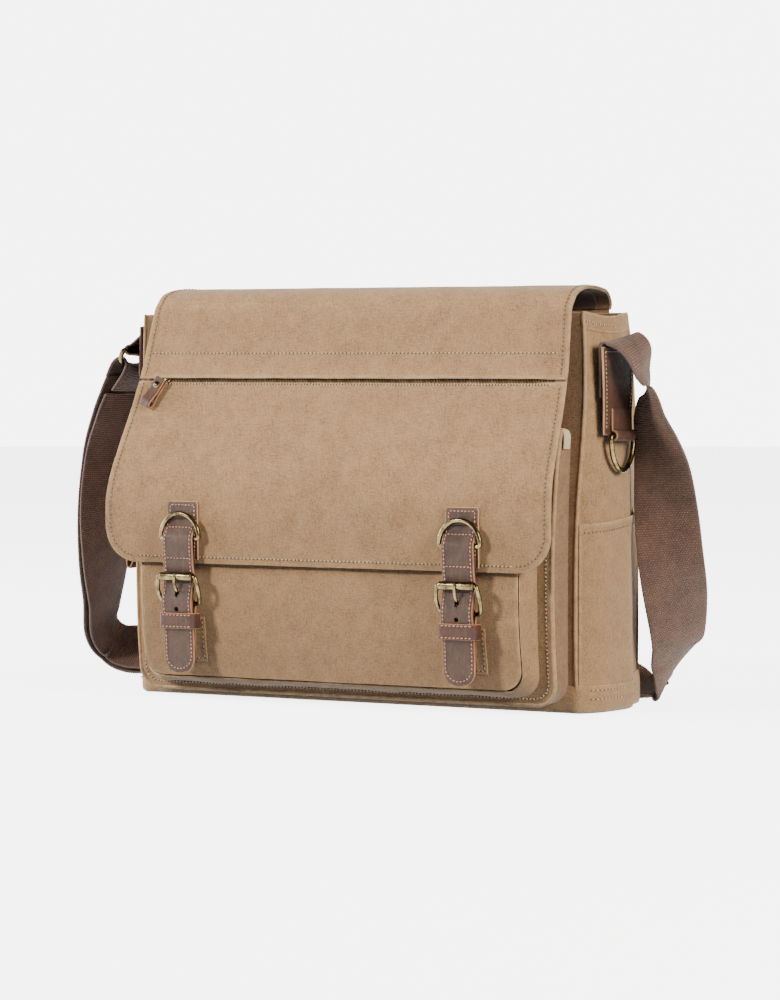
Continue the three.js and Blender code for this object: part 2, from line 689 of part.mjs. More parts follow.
function makeShoulderStrap() {
  add(bag, "shoulder_strap", ribbon(STRAP_ROUTE, WEBBING, WEBBING_THICK, 3, 0), webbing);
  const returnRoute = STRAP_ROUTE.slice(RETURN_START, -1);
  add(bag, "strap_return", ribbon(returnRoute, WEBBING, WEBBING_THICK, 3, RETURN_OFFSET), webbing);
}

// The slider's loop stands across both runs, with a bar between them.
function makeStrapSlider() {
  const rowA = STRAP_ROUTE[SLIDER_AT];
  const rowB = STRAP_ROUTE[SLIDER_AT + 1];
  const along = new THREE.Vector3(rowB[0] - rowA[0], rowB[1] - rowA[1], rowB[2] - rowA[2]).normalize();
  const wide = new THREE.Vector3(rowA[3], rowA[4], rowA[5]);
  wide.addScaledVector(along, -wide.dot(along)).normalize();
  const normal = new THREE.Vector3().crossVectors(along, wide);
  const centre = new THREE.Vector3(rowA[0], rowA[1], rowA[2]);
  const slotHalf = WEBBING / 2 + 1;
  const slotDeep = WEBBING_THICK / 2 + 0.8;
  const rim = 2.4;
  const low = Math.min(0, RETURN_OFFSET) - slotDeep - rim;
  const high = Math.max(0, RETURN_OFFSET) + slotDeep + rim;
  const body = block(-3, 3, -slotHalf - rim, slotHalf + rim, low, high);
  const slots = [0, RETURN_OFFSET].map((at) =>
    block(-5, 5, -slotHalf, slotHalf, at - slotDeep, at + slotDeep),
  );
  const place = new THREE.Matrix4().makeBasis(along, wide, normal).setPosition(centre);
  add(bag, "strap_slider", cut(body, ...slots).applyMatrix4(place), metal);
}

makeMainCompartment();
makeSidePockets();
makeOrganizer();
makeFrontPocket();
makeSnapSockets();
makeFlap();
makeFlapSlider();
makeOrganizerSlider();
makeClosure("right", CLOSURE_X);
makeClosure("left", -CLOSURE_X);
makeRightTab();
makeLeftTab();
makeShoulderStrap();
makeStrapSlider();

export default bag;
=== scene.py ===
"""A canvas messenger bag with buckled leather closures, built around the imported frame.

Lengths in this file are millimetres unless a name says otherwise; MM turns them into metres.
"""
import math
import random

import bmesh
import bpy
import numpy as np
from mathutils import Matrix, Vector, noise


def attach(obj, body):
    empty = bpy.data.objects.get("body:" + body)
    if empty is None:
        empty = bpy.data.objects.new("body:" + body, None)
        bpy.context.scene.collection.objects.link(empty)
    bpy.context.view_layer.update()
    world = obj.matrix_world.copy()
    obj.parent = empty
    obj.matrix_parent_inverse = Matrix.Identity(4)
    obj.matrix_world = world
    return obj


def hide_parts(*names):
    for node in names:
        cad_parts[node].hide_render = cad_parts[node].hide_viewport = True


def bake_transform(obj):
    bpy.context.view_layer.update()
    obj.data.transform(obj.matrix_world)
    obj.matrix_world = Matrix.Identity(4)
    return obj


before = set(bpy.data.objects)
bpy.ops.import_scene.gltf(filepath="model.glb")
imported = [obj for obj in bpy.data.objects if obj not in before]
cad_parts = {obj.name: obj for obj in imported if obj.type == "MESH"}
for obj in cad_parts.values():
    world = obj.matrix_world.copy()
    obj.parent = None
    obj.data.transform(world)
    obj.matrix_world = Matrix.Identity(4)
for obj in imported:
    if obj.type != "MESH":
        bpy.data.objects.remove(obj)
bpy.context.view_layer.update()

MM = 0.001
rng = random.Random(7)

# ---- driving dimensions, as in the frame ----
BODY_HALF = 187.2
BODY_TOP = 297
BULGE = {"right": 203, "left": 207}
BULGE_TOP = {"right": 192, "left": 205}
DRAW_START = 170
BASE_LIP = 20
ORGANIZER_HALF = 183
ORGANIZER_BOTTOM = 8
ORGANIZER_TOP = 212
POCKET_HALF = 171
POCKET_BOTTOM = 14
POCKET_TOP = 190
CORNER = 16
FLAP_HALF_TOP = 186
FLAP_HALF = 197
FLAP_BOTTOM = 106
FLAP_CORNER = 28
FOLD_Z = 300
ZIP_Z = 248
CLOSURE_X = 124
STRAP_TIP = 22
WEBBING = 50
WEBBING_THICK = 2.5
TAB_Y = -12
WIRE = 2
MAIN_FRONT = [(-50, 2.8), (-51, 60), (-50, 150), (-44, 240), (-40, BODY_TOP)]
MAIN_BACK = [(50, 2.8), (52, 60), (49, 150), (41, 240), (32, BODY_TOP)]
ORGANIZER = [(-70, 8), (-75, 60), (-76, 120), (-70, 180), (-62, ORGANIZER_TOP)]
POCKET = [(-88, 14), (-95, 60), (-96.4, 105), (-91, 150), (-80, POCKET_TOP)]
FLAP_PATH = [
    (34.4, 299.6), (33.5, 306), (22, 314.5), (2, 317.5), (-20, 317.8), (-38, 313.4), (-47, 304.8), (-50, 299.5),
    (-56, 275), (-62, 252), (-74, 222), (-87, 195), (-97, 172), (-101.2, 152), (-101.5, 130),
    (-101.5, FLAP_BOTTOM),
]

# ---- camera ----
CAMERA_AZIMUTH = math.radians(31)
CAMERA_PITCH = math.atan(140 / 3960)
CAMERA_PLACE = Vector((1.57918, -2.62799, 0.262))


def make_camera():
    data = bpy.data.cameras.new("camera")
    data.sensor_fit = "VERTICAL"
    data.sensor_height = 36
    data.lens = 36 * 3960 / 1000
    data.clip_end = 50
    camera = bpy.data.objects.new("camera", data)
    level = math.cos(CAMERA_PITCH)
    look = Vector((-math.sin(CAMERA_AZIMUTH) * level, math.cos(CAMERA_AZIMUTH) * level, -math.sin(CAMERA_PITCH)))
    camera.rotation_mode = "QUATERNION"
    camera.rotation_quaternion = look.to_track_quat("-Z", "Y")
    camera.location = CAMERA_PLACE
    bpy.context.scene.collection.objects.link(camera)
    bpy.context.scene.camera = camera


# ---- curves ----
def spline(points, count):
    """count + 1 points on a smooth curve through the given points."""
    last = len(points) - 1
    out = []
    for i in range(count + 1):
        place = last * i / count
        k = min(int(place), last - 1)
        t = place - k
        near = [points[max(k - 1, 0)], points[k], points[k + 1], points[min(k + 2, last)]]
        row = []
        for a, b, c, d in zip(*near):
            m0 = (c - a) / 2
            m1 = (d - b) / 2
            row.append(
                (2 * b - 2 * c + m0 + m1) * t**3 + (-3 * b + 3 * c - 2 * m0 - m1) * t**2 + m0 * t + b
            )
        out.append(row)
    return out


class Profile:
    """A curve in the (y, z) plane, measured along its length."""

    def __init__(self, points, out_sign=1, steps=240):
        self.yz = np.array(spline(points, steps))
        gaps = np.linalg.norm(np.diff(self.yz, axis=0), axis=1)
        self.s = np.concatenate([[0], np.cumsum(gaps)])
        self.length = float(self.s[-1])
        self.out_sign = out_sign

    def at(self, s):
        y = np.interp(s, self.s, self.yz[:, 0])
        z = np.interp(s, self.s, self.yz[:, 1])
        return float(y), float(z)

    def normal(self, s):
        y0, z0 = self.at(max(s - 2, 0))
        y1, z1 = self.at(min(s + 2, self.length))
        size = math.hypot(y1 - y0, z1 - z0)
        return self.out_sign * -(z1 - z0) / size, self.out_sign * (y1 - y0) / size

    def s_at(self, z):
        """Distance along the curve at height z, for curves that only rise or only fall."""
        heights = self.yz[:, 1]
        if heights[0] < heights[-1]:
            return float(np.interp(z, heights, self.s))
        return float(np.interp(-z, -heights, self.s))

    def y_at(self, z):
        return self.at(self.s_at(z))[0]


front_profile = Profile(MAIN_FRONT)
back_profile = Profile(MAIN_BACK, -1)
organizer_profile = Profile(ORGANIZER)
pocket_profile = Profile(POCKET)
flap_profile = Profile(FLAP_PATH, -1, 420)
# the first part of the flap's curve rises, so heights below the fold are looked up after it
FOLD_S = float(flap_profile.s[int(np.argmin(abs(flap_profile.yz[:, 0] + 50)))])


def flap_s(z):
    after = flap_profile.s >= FOLD_S
    return float(np.interp(-z, -flap_profile.yz[after, 1], flap_profile.s[after]))


def soft(point, size, seed):
    """Smooth noise from -1 to 1 that changes over about size millimetres."""
    return noise.noise(Vector(point) / size + Vector((seed, 2.7 * seed, -seed)))


# ---- mesh building ----
class Mesh:
    """Vertices and faces gathered in millimetres."""

    def __init__(self):
        self.verts = []
        self.faces = []
        self.slots = []
        self.wear = []
        self.across = []
        self.along = []

    def add(self, verts, faces, wear=None):
        """Adds faces in the first material, and returns the number of their first vertex."""
        base = len(self.verts)
        self.verts += [tuple(v) for v in verts]
        self.faces += [tuple(base + i for i in face) for face in faces]
        self.slots += [0] * len(faces)
        self.wear += list(wear) if wear is not None else [0.0] * len(verts)
        return base


def mesh_data(name, mesh, materials):
    """Blender's own mesh in metres, with its faces turned outwards."""
    data = bpy.data.meshes.new(name)
    data.from_pydata([(x * MM, y * MM, z * MM) for x, y, z in mesh.verts], [], mesh.faces)
    for material in materials:
        data.materials.append(material)
    data.polygons.foreach_set("material_index", mesh.slots)
    edit = bmesh.new()
    edit.from_mesh(data)
    bmesh.ops.recalc_face_normals(edit, faces=edit.faces)
    edit.to_mesh(data)
    edit.free()
    return data


def smooth_shade(data, angle):
    """Smooth shading that stays sharp where faces meet at more than angle degrees."""
    data.polygons.foreach_set("use_smooth", [True] * len(data.polygons))
    data.set_sharp_from_angle(angle=math.radians(angle))


def build(name, mesh, materials, body=None, replaces=(), blend=None, angle=50):
    """Makes the object and parents it to the body it rides on; a piece given blend only has its transform baked."""
    data = mesh_data(name, mesh, materials)
    for label, values in (("wear", mesh.wear), ("across", mesh.across), ("along", mesh.along)):
        if any(values):
            data.attributes.new(label, "FLOAT", "POINT").data.foreach_set("value", values)
    smooth_shade(data, angle)
    piece = bpy.data.objects.new(name, data)
    bpy.context.scene.collection.objects.link(piece)
    if blend:
        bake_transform(piece)
    else:
        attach(piece, body)
    if replaces:
        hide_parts(*replaces)
    return piece


def shell(mesh, grid, thick, rim_slot=0):
    """A sheet of cloth or leather: grid is its outer face, and thick lies behind it."""
    rows = len(grid)
    cols = len(grid[0])
    outer = [[Vector(p) for p in row] for row in grid]
    inner = []
    for i in range(rows):
        line = []
        for j in range(cols):
            down = outer[min(i + 1, rows - 1)][j] - outer[max(i - 1, 0)][j]
            side = outer[i][min(j + 1, cols - 1)] - outer[i][max(j - 1, 0)]
            line.append(outer[i][j] + side.cross(down).normalized() * thick)
        inner.append(line)
    flat_outer = [p for row in outer for p in row]
    flat_inner = [p for row in inner for p in row]
    wear = []
    for i in range(rows):
        for j in range(cols):
            wear.append(0.65 if i in (0, rows - 1) or j in (0, cols - 1) else 0.0)
    base = mesh.add(flat_outer + flat_inner, [], wear=wear + [0.0] * len(flat_inner))
    half = rows * cols
    for i in range(rows - 1):
        for j in range(cols - 1):
            a = i * cols + j
            b, c, d = a + cols, a + cols + 1, a + 1
            mesh.faces.append((base + a, base + b, base + c, base + d))
            mesh.faces.append((base + half + a, base + half + d, base + half + c, base + half + b))
            mesh.slots += [0, 0]
    border = [(0, j) for j in range(cols)]
    border += [(i, cols - 1) for i in range(1, rows)]
    border += [(rows - 1, j) for j in range(cols - 2, -1, -1)]
    border += [(i, 0) for i in range(rows - 2, 0, -1)]
    middle = []
    for i, j in border:
        di = -1 if i == 0 else (1 if i == rows - 1 else 0)
        dj = -1 if j == 0 else (1 if j == cols - 1 else 0)
        away = (outer[i][j] - outer[i - di][j - dj]).normalized()
        middle.append((outer[i][j] + inner[i][j]) / 2 + away * thick * 0.4)
    start = mesh.add(middle, [], wear=[1.0] * len(middle))
    count = len(border)
    for n in range(count):
        m = (n + 1) % count
        a = border[n][0] * cols + border[n][1]
        b = border[m][0] * cols + border[m][1]
        mesh.faces.append((base + a, base + b, start + m, start + n))
        mesh.faces.append((start + n, start + m, base + half + b, base + half + a))
        mesh.slots += [rim_slot, rim_slot]


def ring_faces(size, first, second, base=0):
    """Quads between two rings of size vertices each, numbered as whole rings after base."""
    faces = []
    for k in range(size):
        m = (k + 1) % size
        a = base + first * size
        b = base + second * size
        faces.append((a + k, a + m, b + m, b + k))
    return faces


def frames(points, wide=None, closed=False):
    """Tangents, directions across and normals along a path."""
    count = len(points)
    points = [Vector(p) for p in points]
    tangents = []
    for i in range(count):
        if closed:
            step = points[(i + 1) % count] - points[i - 1]
        else:
            step = points[min(i + 1, count - 1)] - points[max(i - 1, 0)]
        tangents.append(step.normalized())
    wides = []
    carried = None
    for i in range(count):
        if wide is not None:
            guess = Vector(wide[i]) if isinstance(wide, list) else Vector(wide)
        elif carried is None:
            guess = tangents[0].orthogonal()
        else:
            guess = carried
        across = (guess - tangents[i] * guess.dot(tangents[i])).normalized()
        carried = across
        wides.append(across)
    normals = [t.cross(w) for t, w in zip(tangents, wides)]
    return points, tangents, wides, normals


def sweep(mesh, path, section, wide=None, closed=False, scales=None, slots=None, wear=None):
    """Carries a closed section of (across, normal) offsets along a path."""
    points, _, wides, normals = frames(path, wide, closed)
    size = len(section)
    verts = []
    for i, point in enumerate(points):
        grow = scales[i] if scales else (1, 1)
        for a, b in section:
            verts.append(point + wides[i] * (a * grow[0]) + normals[i] * (b * grow[1]))
    base = mesh.add(verts, [], wear=[wear[k] for _ in points for k in range(size)] if wear else None)
    rings = len(points)
    for i in range(rings if closed else rings - 1):
        mesh.faces += ring_faces(size, i, (i + 1) % rings, base)
        mesh.slots += slots or [0] * size
    if not closed:
        mesh.faces.append(tuple(base + k for k in reversed(range(size))))
        mesh.faces.append(tuple(base + (rings - 1) * size + k for k in range(size)))
        mesh.slots += [slots[0] if slots else 0] * 2


def circle(radius, sides):
    turn = 2 * math.pi / sides
    return [(radius * math.cos(turn * k), radius * math.sin(turn * k)) for k in range(sides)]


def strip_section(width, thick, corner=0.6, across=6):
    """A flat strip with rounded edges, starting on its front face."""
    half = width / 2
    deep = thick / 2
    top = [(-half + corner + (width - 2 * corner) * k / across, deep) for k in range(across + 1)]
    edge = [
        (half - corner * 0.3, deep - corner * 0.3), (half, deep * 0.3),
        (half, -deep * 0.3), (half - corner * 0.3, corner * 0.3 - deep),
    ]
    bottom = [(-a, -b) for a, b in top]
    other = [(-a, -b) for a, b in edge]
    return top + edge + bottom + other


def strip_slots(across=6):
    """The cut edges of a strip_section take the second material."""
    front = [0] * across
    edge = [1] * 5
    return front + edge + front + edge


def resample(points, pitch):
    """Points every pitch along a path, each with the share between two of its points."""
    gaps = [(Vector(b) - Vector(a)).length for a, b in zip(points, points[1:])]
    total = sum(gaps)
    count = max(int(total / pitch), 1)
    places = []
    k = 0
    before = 0.0
    for i in range(count + 1):
        target = min(total * i / count, total - 1e-6)
        while before + gaps[k] < target:
            before += gaps[k]
            k += 1
        places.append((k, (target - before) / max(gaps[k], 1e-9)))
    return places


STITCH_RINGS = ((-1.0, 0.45, -0.7), (-0.62, 0.95, -0.05), (0.0, 1.05, 0.2), (0.62, 0.95, -0.05), (1.0, 0.45, -0.7))


def stitch_row(thread, holes, points, normals, pitch=3.4, length=2.05, radius=0.5, slant=0.16, zigzag=False):
    """Lays stitches along a path on a surface, with a dark disc of painted shade for the needle hole at each end."""
    places = resample(points, pitch)
    spots = []
    for k, share in places:
        spot = Vector(points[k]).lerp(Vector(points[k + 1]), share)
        up = Vector(normals[k]).lerp(Vector(normals[k + 1]), share).normalized()
        spots.append((spot, up))
    for n, ((start, up0), (end, up1)) in enumerate(zip(spots, spots[1:])):
        lean = -slant if zigzag and n % 2 else slant
        up = (up0 + up1).normalized()
        along = (end - start).normalized()
        side = up.cross(along)
        along = (along + side * (lean + 0.08 * rng.uniform(-1, 1))).normalized()
        side = up.cross(along)
        middle = (start + end) / 2 + up * radius * 0.35
        verts = []
        for place, size, lift in STITCH_RINGS:
            for k in range(6):
                turn = math.pi * k / 3
                verts.append(
                    middle + along * (place * length / 2) + side * (radius * size * math.cos(turn))
                    + up * (radius * (size * 0.8 * math.sin(turn) + lift))
                )
        faces = []
        rings = len(STITCH_RINGS)
        for r in range(rings - 1):
            faces += ring_faces(6, r, r + 1)
        faces.append(tuple(reversed(range(6))))
        faces.append(tuple((rings - 1) * 6 + k for k in range(6)))
        thread.add(verts, faces)
        # each needle hole is a dark disc laid on the surface: painted shade
        if holes is not None:
            add_dot(holes, start + up * 0.06, up, radius * 1.3, 0.12)


def add_dot(mesh, centre, up, radius, height):
    """A small low disc."""
    across = up.orthogonal().normalized()
    other = up.cross(across)
    verts = []
    for level in (0, height):
        for k in range(7):
            turn = 2 * math.pi * k / 7
            verts.append(centre + up * level + (across * math.cos(turn) + other * math.sin(turn)) * radius)
    faces = [tuple(reversed(range(7))), tuple(range(7, 14))]
    faces += [(k, (k + 1) % 7, 7 + (k + 1) % 7, 7 + k) for k in range(7)]
    mesh.add(verts, faces)


# ---- materials ----
def srgb(red, green, blue):
    """An 8-bit display colour as the linear one that shaders take."""
    out = []
    for value in (red, green, blue):
        v = value / 255
        out.append(v / 12.92 if v <= 0.04045 else ((v + 0.055) / 1.055) ** 2.4)
    return (*out, 1)


class Nodes:
    """Short names for the node calls that every material here uses."""

    def __init__(self, name, roughness, metallic=0.0):
        self.material = bpy.data.materials.new(name)
        self.material.use_nodes = True
        self.tree = self.material.node_tree
        self.shader = self.tree.nodes["Principled BSDF"]
        self.shader.inputs["Roughness"].default_value = roughness
        self.shader.inputs["Metallic"].default_value = metallic

    def link(self, source, target):
        self.tree.links.new(source, target)

    def new(self, kind, **settings):
        node = self.tree.nodes.new(kind)
        for key, value in settings.items():
            setattr(node, key, value)
        return node

    def feed(self, socket, value):
        if isinstance(value, (int, float, tuple)):
            socket.default_value = value
        else:
            self.link(value, socket)

    def math(self, operation, a, b=0.0, clamp=False):
        node = self.new("ShaderNodeMath", operation=operation, use_clamp=clamp)
        self.feed(node.inputs[0], a)
        self.feed(node.inputs[1], b)
        return node.outputs[0]

    def place(self):
        return self.new("ShaderNodeTexCoord").outputs["Object"]

    def flat_place(self, across, along):
        """Place on a wall as (across, height), each scaled; x + y runs along any upright wall."""
        split = self.new("ShaderNodeSeparateXYZ")
        self.link(self.place(), split.inputs[0])
        join = self.new("ShaderNodeCombineXYZ")
        sideways = self.math("ADD", split.outputs[0], split.outputs[1])
        self.link(self.math("MULTIPLY", sideways, across), join.inputs[0])
        height = self.math("SUBTRACT", split.outputs[2], self.math("MULTIPLY", split.outputs[1], 0.7))
        self.link(self.math("MULTIPLY", height, along), join.inputs[1])
        return join.outputs[0]

    def noise(self, scale, detail=3.0, roughness=0.55, vector=None):
        node = self.new("ShaderNodeTexNoise")
        node.inputs["Scale"].default_value = scale
        node.inputs["Detail"].default_value = detail
        node.inputs["Roughness"].default_value = roughness
        self.link(vector if vector is not None else self.place(), node.inputs["Vector"])
        return node.outputs["Fac"]

    def ramp(self, value, low, high):
        node = self.new("ShaderNodeMapRange", clamp=True)
        self.feed(node.inputs["Value"], value)
        node.inputs["From Min"].default_value = low
        node.inputs["From Max"].default_value = high
        return node.outputs["Result"]

    def mix(self, share, a, b):
        node = self.new("ShaderNodeMix", data_type="RGBA")
        self.feed(node.inputs["Factor"], share)
        self.feed(node.inputs["A"], a)
        self.feed(node.inputs["B"], b)
        return node.outputs["Result"]

    def attribute(self, name):
        return self.new("ShaderNodeAttribute", attribute_name=name).outputs["Fac"]

    def bump(self, height, strength, distance):
        node = self.new("ShaderNodeBump")
        node.inputs["Strength"].default_value = strength
        node.inputs["Distance"].default_value = distance
        self.link(height, node.inputs["Height"])
        self.link(node.outputs["Normal"], self.shader.inputs["Normal"])

    def colour(self, value):
        self.feed(self.shader.inputs["Base Color"], value)


def canvas_material(name, base, dark, light, edge):
    n = Nodes(name, 0.92)
    n.shader.inputs["Sheen Weight"].default_value = 0.12
    n.shader.inputs["Sheen Roughness"].default_value = 0.6
    n.shader.inputs["Specular IOR Level"].default_value = 0.2
    washed = n.ramp(n.noise(16, 4, 0.6), 0.33, 0.67)
    rubbed = n.ramp(n.noise(75, 4, 0.65), 0.35, 0.7)
    warp = n.noise(1, 2, 0.5, n.flat_place(1300, 150))
    weft = n.noise(1, 2, 0.5, n.flat_place(170, 1300))
    threads = n.math("ADD", n.math("MULTIPLY", warp, 0.5), n.math("MULTIPLY", weft, 0.5))
    grain = n.ramp(threads, 0.3, 0.7)
    specks = n.ramp(n.noise(800, 2, 0.6), 0.35, 0.7)
    colour = n.mix(n.math("MULTIPLY", washed, 0.55), dark, base)
    colour = n.mix(n.math("MULTIPLY", rubbed, 0.5), colour, light)
    colour = n.mix(n.math("MULTIPLY", grain, 0.5), colour, light)
    colour = n.mix(n.math("MULTIPLY", n.math("SUBTRACT", 1.0, grain), 0.5), colour, dark)
    colour = n.mix(n.math("MULTIPLY", specks, 0.28), colour, edge)
    worn = n.math("MULTIPLY", n.attribute("wear"), n.ramp(n.noise(160, 3, 0.6), 0.25, 0.6), clamp=True)
    n.colour(n.mix(n.math("MULTIPLY", worn, 0.6), colour, edge))
    n.bump(n.math("ADD", threads, n.math("MULTIPLY", specks, 0.35)), 0.55, 0.0006)
    return n.material


def leather_material(name, base, dark, light, roughness=0.5):
    n = Nodes(name, roughness)
    n.shader.inputs["Specular IOR Level"].default_value = 0.22
    patches = n.ramp(n.noise(45, 4, 0.6), 0.35, 0.68)
    scuffs = n.ramp(n.noise(1, 5, 0.7, n.flat_place(260, 90)), 0.48, 0.75)
    grain = n.new("ShaderNodeTexVoronoi", feature="DISTANCE_TO_EDGE")
    grain.inputs["Scale"].default_value = 900
    n.link(n.place(), grain.inputs["Vector"])
    colour = n.mix(patches, dark, base)
    colour = n.mix(n.math("MULTIPLY", scuffs, 0.55), colour, light)
    n.colour(n.mix(n.math("MULTIPLY", n.attribute("wear"), 0.6, clamp=True), colour, light))
    pores = n.ramp(grain.outputs["Distance"], 0.0, 0.25)
    creases = n.noise(220, 5, 0.7)
    n.bump(n.math("ADD", n.math("MULTIPLY", pores, 0.35), creases), 0.5, 0.0006)
    return n.material


def metal_material(name, base, dark, roughness=0.34):
    n = Nodes(name, roughness, 1.0)
    tarnish = n.ramp(n.noise(170, 4, 0.6), 0.35, 0.7)
    n.colour(n.mix(tarnish, dark, base))
    n.bump(n.noise(900, 3, 0.6), 0.1, 0.0003)
    return n.material


def webbing_material(name, base, dark, fleck):
    """Ribs lie across the webbing, with a light fleck where each warp thread shows."""
    n = Nodes(name, 0.85)
    n.shader.inputs["Sheen Weight"].default_value = 0.15
    n.shader.inputs["Specular IOR Level"].default_value = 0.25
    rib = n.math("MULTIPLY", n.attribute("along"), 1 / WEB_RIB)
    row = n.math("FLOOR", rib)
    place = n.math("ADD", n.math("MULTIPLY", n.attribute("across"), 1 / WEB_FLECK), n.math("MULTIPLY", row, 0.5))
    high = n.math("SINE", n.math("MULTIPLY", n.math("FRACT", rib), math.pi))
    spot = n.math("SINE", n.math("MULTIPLY", n.math("FRACT", place), math.pi))
    dots = n.ramp(n.math("MULTIPLY", high, spot), 0.55, 0.95)
    colour = n.mix(n.ramp(n.noise(60, 3, 0.6), 0.3, 0.7), dark, base)
    # the valleys between the ribs are darkened: painted shade
    colour = n.mix(n.math("MULTIPLY", n.math("SUBTRACT", 1.0, high), 0.55), colour, dark)
    uneven = n.ramp(n.noise(420, 2, 0.5), 0.3, 0.75)
    n.colour(n.mix(n.math("MULTIPLY", n.math("MULTIPLY", dots, uneven), 0.6), colour, fleck))
    n.bump(n.math("ADD", high, dots), 0.5, 0.0005)
    return n.material


def cloth_material(name, base, dark, roughness=0.8, sheen=0.1, bump=0.3):
    n = Nodes(name, roughness)
    n.shader.inputs["Sheen Weight"].default_value = sheen
    folds = n.ramp(n.noise(30, 4, 0.6), 0.3, 0.7)
    threads = n.noise(1, 2, 0.5, n.flat_place(1500, 300))
    colour = n.mix(folds, dark, base)
    n.colour(n.mix(n.math("MULTIPLY", threads, 0.3), colour, dark))
    n.bump(n.math("ADD", threads, folds), bump, 0.0006)
    return n.material


def thread_material(name, base, dark):
    n = Nodes(name, 0.75)
    n.colour(n.mix(n.ramp(n.noise(500, 2, 0.5), 0.35, 0.65), dark, base))
    n.bump(n.noise(1800, 2, 0.5), 0.3, 0.0003)
    return n.material


WEB_RIB = 1.75 * MM
WEB_FLECK = 2.1 * MM

CANVAS = canvas_material(
    "canvas", srgb(146, 106, 65), srgb(106, 72, 39), srgb(182, 145, 101), srgb(206, 174, 130)
)
# a darker copy of the canvas: painted shade for the front panel, the organizer's band and the flap's facing, which lie
# in shadow
CANVAS_PAINTED_SHADE = canvas_material(
    "canvas_shade", srgb(124, 88, 53), srgb(88, 59, 34), srgb(154, 118, 79), srgb(182, 147, 107)
)
LEATHER = leather_material("leather", srgb(74, 50, 38), srgb(52, 34, 25), srgb(102, 74, 57))
LEATHER_DARK = leather_material("leather_dark", srgb(78, 43, 30), srgb(46, 27, 19), srgb(94, 64, 47))
LEATHER_EDGE = leather_material("leather_edge", srgb(176, 124, 84), srgb(134, 88, 56), srgb(200, 156, 118), 0.7)
BRASS = metal_material("antique_brass", srgb(124, 109, 76), srgb(60, 50, 32), 0.24)
WEB = webbing_material("webbing", srgb(110, 78, 60), srgb(72, 48, 36), srgb(172, 140, 118))
WEB_EDGE = cloth_material("webbing_edge", srgb(96, 72, 60), srgb(66, 48, 40), 0.9)
LINING = cloth_material("lining", srgb(98, 76, 62), srgb(66, 48, 38), 0.5, 0.3, 0.5)
# the zip tape's own dark colour, made darker still so the flap's zip slit reads dark: partly painted shade
TAPE = cloth_material("zip_tape", srgb(46, 34, 27), srgb(28, 20, 16), 0.9)
COTTON = cloth_material("cotton_tape", srgb(206, 184, 148), srgb(176, 150, 116), 0.9)
BOARD = cloth_material("stiffener", srgb(66, 58, 54), srgb(46, 40, 38), 0.9)
THREAD = thread_material("thread", srgb(202, 176, 134), srgb(160, 132, 94))
# the same cream thread darkened: painted shade for stitches along the flap's side edges and for the body's shaded rows
THREAD_PAINTED_SHADE = thread_material("thread_painted_shade", srgb(158, 128, 90), srgb(108, 84, 56))
THREAD_PINK = thread_material("thread_leather", srgb(216, 158, 130), srgb(176, 118, 92))
# the dark colour of the needle-hole discs: painted shade
PAINTED_HOLE_SHADE = thread_material("painted_hole_shade", srgb(54, 38, 26), srgb(34, 24, 17))
# the teeth are darker than the brass so they read dark in the zip slit: partly painted shade
TEETH = metal_material("zip_teeth", srgb(104, 84, 56), srgb(56, 43, 28), 0.5)


# ---- shoulder strap: the route of the frame, row by row ----
WEB_X = 202 + WEBBING_THICK / 2
STRAP_ROUTE = [
    (WEB_X, TAB_Y, 234, 0, 1, 0),
    (WEB_X, TAB_Y, 254, 0, 1, 0),
    (WEB_X, TAB_Y, 271, 0, 1, 0),
    (205.6, -12, 276.5, 0, 0.99, 0.12),
    (212, -11.7, 277, -0.06, 0.97, 0.2),
    (219.3, -9.7, 271, -0.1, 0.97, 0.21),
    (222.7, -7.2, 262, -0.18, 0.95, 0.22),
    (223.2, -4.3, 252.7, -0.29, 0.95, 0.12),
    (224.7, -2.1, 244, -0.4, 0.92, 0),
    (225.9, -2, 234.5, -0.67, 0.74, 0),
    (226.5, -0.5, 220, -0.81, 0.58, 0),
    (229, 4.8, 202, -0.93, 0.37, 0),
    (231.5, 10, 178, -1, 0.08, 0),
    (232, 16, 145, -0.97, -0.22, 0),
    (232.6, 21.8, 112.6, -0.89, -0.45, 0),
    (227.5, 42.4, 75.5, -0.61, -0.79, 0),
    (221.7, 56.9, 50, -0.33, -0.94, 0),
    (211.1, 70.4, 34, 0.01, -1, 0),
    (202, 78.9, 20.5, 0.3, -0.95, 0),
    (195, 82.5, 11.5, 0.46, -0.88, -0.06),
    (186.5, 82, 8.5, 0.24, -0.96, -0.14),
    (170, 84.5, 11, 0.05, -0.97, -0.24),
    (140, 91, 17, 0, -0.86, -0.5),
    (60, 96, 18, 0, -0.82, -0.55),
    (-60, 97, 20, 0, -0.82, -0.55),
    (-160, 97, 23, 0, -0.82, -0.55),
    (-225, 95, 19, 0, -0.78, -0.62),
    (-275, 92, 18.5, 0.12, -0.77, -0.62),
    (-303, 87, 19.5, 0.2, -0.75, -0.63),
    (-321, 78, 27, 0.29, -0.82, -0.49),
    (-320, 64, 47, 0.05, -0.87, -0.48),
    (-306.5, 48, 76, -0.1, -0.88, -0.42),
    (-290.7, 28, 110, -0.35, -0.88, -0.25),
    (-275.2, 12, 150, -0.62, -0.78, -0.1),
    (-264, 3, 190, -0.55, -0.83, 0),
    (-252, -7, 220, -0.3, -0.95, 0),
    (-246, -10, 238, -0.1, -1, 0),
    (-241, -11, 251, 0, -1, 0),
]
RETURN_START = 25
RETURN_OFFSET = 6


